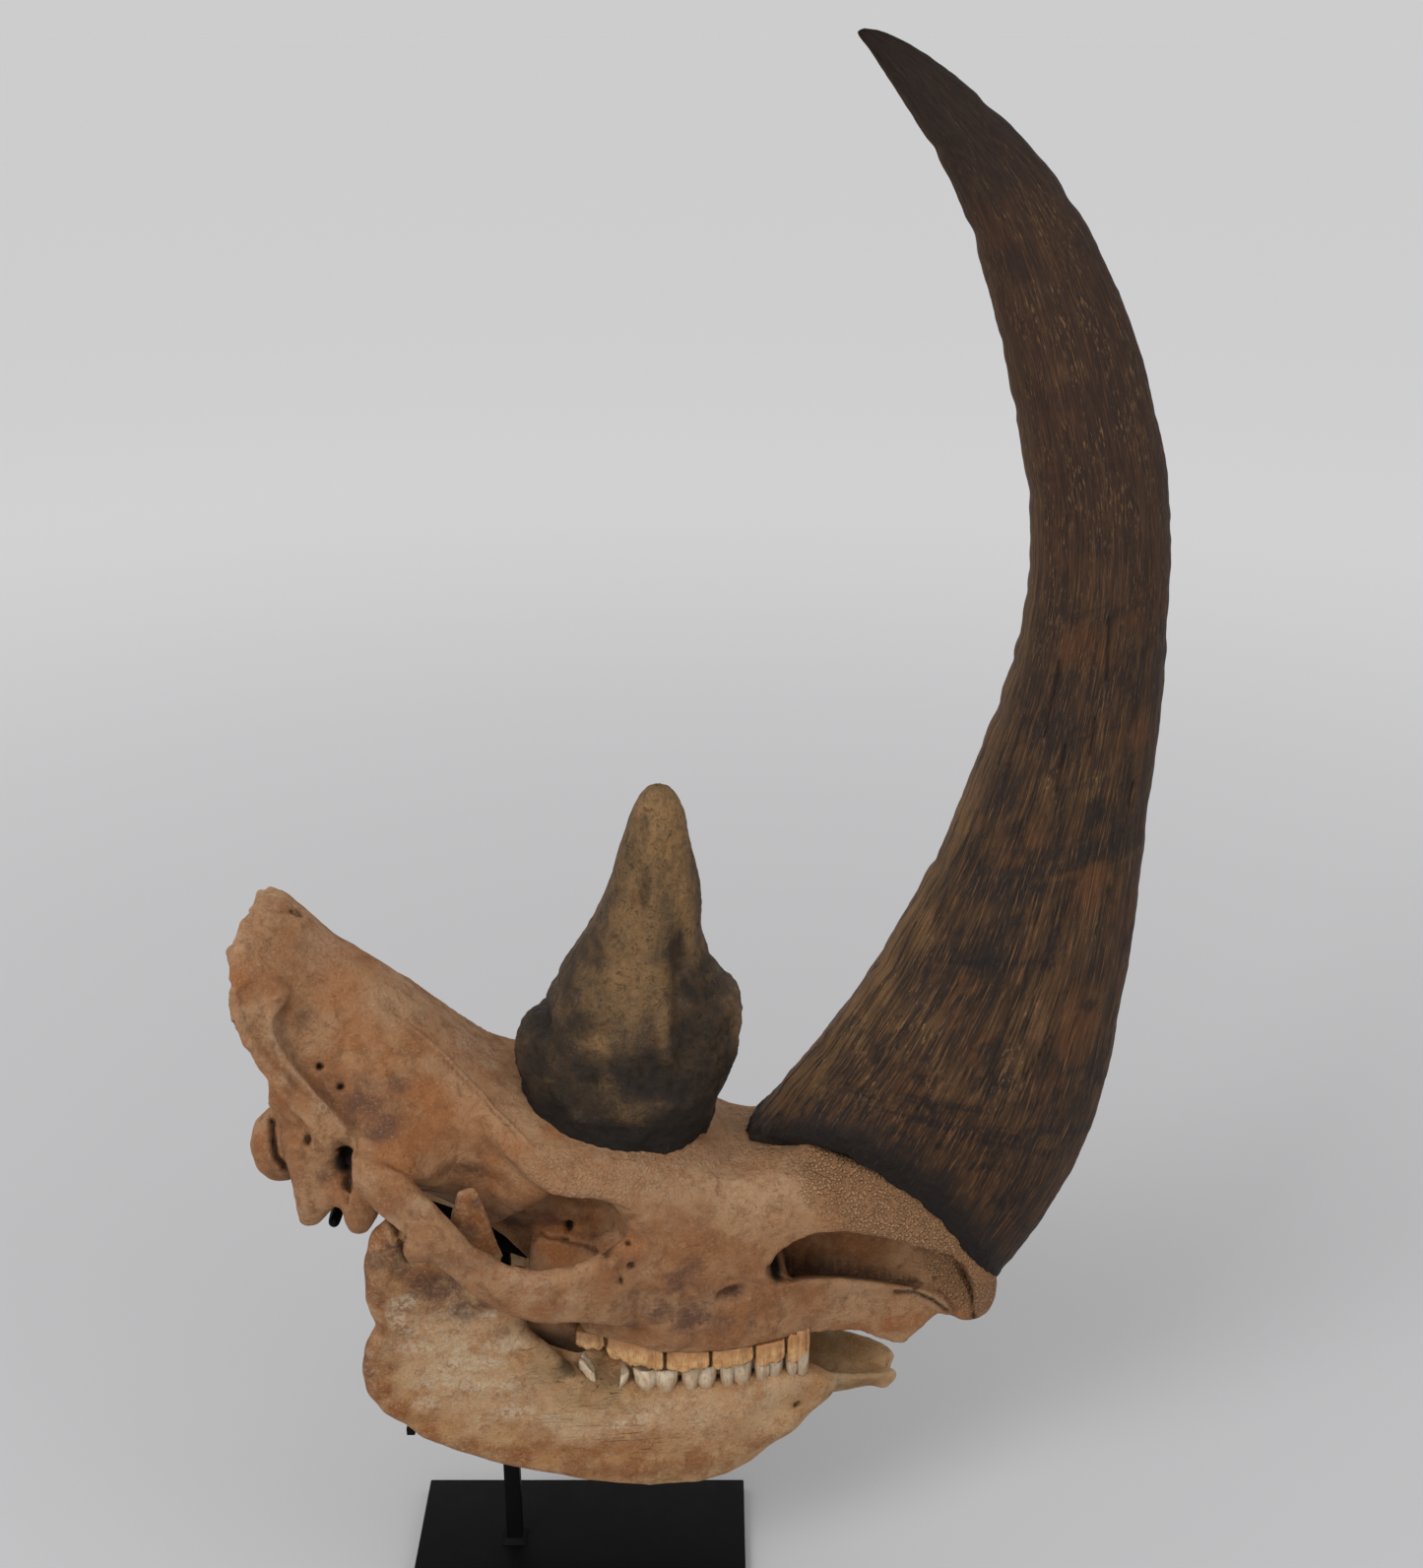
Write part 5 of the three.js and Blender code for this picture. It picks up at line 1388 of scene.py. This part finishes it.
# %% Enamel material
def enamel_material(name, base, stain, deep, light):
    made = new_material(name)
    tree = made.node_tree
    place = add_node(tree, "TexCoord").outputs["Object"]
    upright = add_node(tree, "Mapping", {"Vector": place, "Scale": (1.0, 1.0, 0.18)}).outputs[0]
    lines = noise_node(tree, upright, 1.6, 4, 0.6)
    cloud = noise_node(tree, place, 9, 4, 0.6)
    look = mixed(tree, graded(tree, cloud, 0.38, 0.62), base, light)
    look = mixed(tree, graded(tree, lines, 0.48, 0.64, 0, 0.5), look, stain)
    look = layered(tree, look, [
        (stain, 0.55, "rootward", cloud, 0.2, 0.6, 0.5, 1.0),
        (deep, 1, "seam", lines, 0.3, 0.5, 0.5, 0.9),
        # hollow: painted shade in the hollows of the crown
        (deep, 0.9, "hollow", None),
    ])
    roughness = graded(tree, cloud, 0.3, 0.7, 0.32, 0.55)
    return finish_material(made, look, roughness, bumped(tree, lines, 0.25))


upper_enamel = enamel_material(
    "enamel_of_the_upper_teeth",
    colour(0.44, 0.205, 0.068), colour(0.25, 0.096, 0.025), colour(0.05, 0.02, 0.008),
    colour(0.56, 0.335, 0.145),
)
lower_enamel = enamel_material(
    "enamel_of_the_lower_teeth",
    colour(0.5, 0.375, 0.235), colour(0.26, 0.14, 0.06), colour(0.045, 0.022, 0.01),
    colour(0.62, 0.51, 0.37),
)
for node, piece in tooth_pieces.items():
    is_upper = node.startswith("upper")
    piece.data.materials.append(upper_enamel if is_upper else lower_enamel)
    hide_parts(node)
    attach(piece, "root")
    select_only(piece)
    bpy.ops.object.shade_smooth()
print("teeth are placed")

# %% [markdown]
# ## The stand
# A flat steel plate carries one square post. A bar runs from the post up to the rear under the skull, with
# a round cross rod at its end, and a thin flat bar with a square cross bar carries the lower jaw. All of it
# is steel bar with slightly broken edges, welded and painted black. The solids already have the exact
# sizes, so their copies only need their edges broken.

# %% The stand
FLAT_WITHIN = math.radians(2)
CORNER_FROM = math.radians(25)
SMOOTH_UNDER = math.radians(35)
STAND_EDGES = {"base_plate": 0.8, "post": 1.0, "skull_arm": 1.0, "jaw_arm": 0.8, "jaw_rest": 0.8}
stand_pieces = {}
for node, edge_mm in STAND_EDGES.items():
    made = copy_of(node, node + "_steel")
    select_only(made)
    bpy.ops.object.mode_set(mode="EDIT")
    bpy.ops.mesh.select_all(action="SELECT")
    bpy.ops.mesh.dissolve_limited(angle_limit=FLAT_WITHIN)
    bpy.ops.object.mode_set(mode="OBJECT")
    broken = made.modifiers.new("broken_edges", "BEVEL")
    broken.width = edge_mm * MM
    broken.segments = 3
    broken.limit_method = "ANGLE"
    broken.angle_limit = CORNER_FROM
    bpy.ops.object.modifier_apply(modifier=broken.name)
    bpy.ops.object.shade_smooth_by_angle(angle=SMOOTH_UNDER)
    stand_pieces[node] = made

rod = copy_of("occipital_rest", "occipital_rest_steel")
select_only(rod)
rounder = rod.modifiers.new("rounder", "SUBSURF")
rounder.levels = rounder.render_levels = 2
bpy.ops.object.modifier_apply(modifier=rounder.name)
bpy.ops.object.shade_smooth()
stand_pieces["occipital_rest"] = rod
print("stand pieces:", ", ".join(stand_pieces))

# %% [markdown]
# ## Black paint
# Satin black paint on steel: almost no colour, a soft sheen, a fine orange-peel texture and faint dust.


# %% Black paint material
def black_paint():
    made = new_material("black_paint_on_steel")
    tree = made.node_tree
    place = add_node(tree, "TexCoord").outputs["Object"]
    dust = noise_node(tree, place, 24, 5, 0.65)
    peel = noise_node(tree, place, 1.4, 2, 0.5)
    look = mixed(
        tree, graded(tree, dust, 0.5, 0.75, 0, 0.5), colour(0.0035, 0.0035, 0.0037),
        colour(0.007, 0.007, 0.0073),
    )
    roughness = graded(tree, dust, 0.35, 0.7, 0.42, 0.55)
    return finish_material(made, look, roughness, bumped(tree, peel, 0.03), 0.06)


steel = black_paint()
for node, piece in stand_pieces.items():
    piece.data.materials.clear()
    piece.data.materials.append(steel)
    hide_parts(node)
    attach(piece, "root")
print("stand is painted")

# %% [markdown]
# ## Floor and light
# The object stands on a plain pale floor under soft light: a large lamp above and in front, a weaker one
# from the right, and a pale sky all round that keeps the shadows open. The sky is a little darker where it
# meets the floor, so that no horizon shows, and close by the floor is a little greyer.

# %% Floor and light
FLOOR_RADIUS = 95  # metres, so far out that its edge is never seen
GREY_UNDER, WHITE_BEYOND = 0.3, 5.0  # metres from the object
bpy.ops.object.select_all(action="DESELECT")
bpy.ops.mesh.primitive_circle_add(vertices=96, radius=FLOOR_RADIUS, fill_type="TRIFAN")
floor = bpy.context.active_object
floor.name = "floor"
floor_paint = new_material("pale_floor")
floor_tree = floor_paint.node_tree
floor_shader = floor_tree.nodes["Principled BSDF"]
floor_place = add_node(floor_tree, "TexCoord").outputs["Object"]
from_middle = add_node(floor_tree, "VectorMath", {0: floor_place}, operation="LENGTH").outputs["Value"]
whiteness = graded(floor_tree, from_middle, GREY_UNDER, WHITE_BEYOND)
floor_look = mixed(floor_tree, whiteness, colour(0.5, 0.5, 0.51), colour(0.8, 0.8, 0.81))
floor_tree.links.new(floor_look, floor_shader.inputs["Base Color"])
floor_shader.inputs["Roughness"].default_value = 0.9
floor_shader.inputs["Specular IOR Level"].default_value = 0.1
floor.data.materials.append(floor_paint)

world = bpy.data.worlds.new("pale_room")
scene.world = world
world.use_nodes = True
sky = world.node_tree
sky_height = add_node(sky, "SeparateXYZ", {0: add_node(sky, "TexCoord").outputs["Generated"]}).outputs["Z"]
sky.links.new(graded(sky, sky_height, 0.0, 0.5, 0.61, 0.77), sky.nodes["Background"].inputs["Strength"])
sky.nodes["Background"].inputs["Color"].default_value = colour(1.0, 1.0, 1.0)


def lamp(name, place, aim, size, watts):
    made = bpy.data.objects.new(name, bpy.data.lights.new(name, "AREA"))
    scene.collection.objects.link(made)
    made.data.size = size
    made.data.energy = watts
    made.location = place
    made.rotation_mode = "QUATERNION"
    made.rotation_quaternion = (Vector(aim) - Vector(place)).to_track_quat("-Z", "Y")
    return made


lamp("main_lamp", (-1.6, -2.2, 2.9), (0.1, 0.0, 0.7), 1.4, 62)
lamp("side_lamp", (2.6, -1.6, 2.4), (0.1, 0.0, 0.8), 1.4, 14)
scene.view_settings.view_transform = "Standard"

# %% Last update of the scene
bpy.context.view_layer.update()
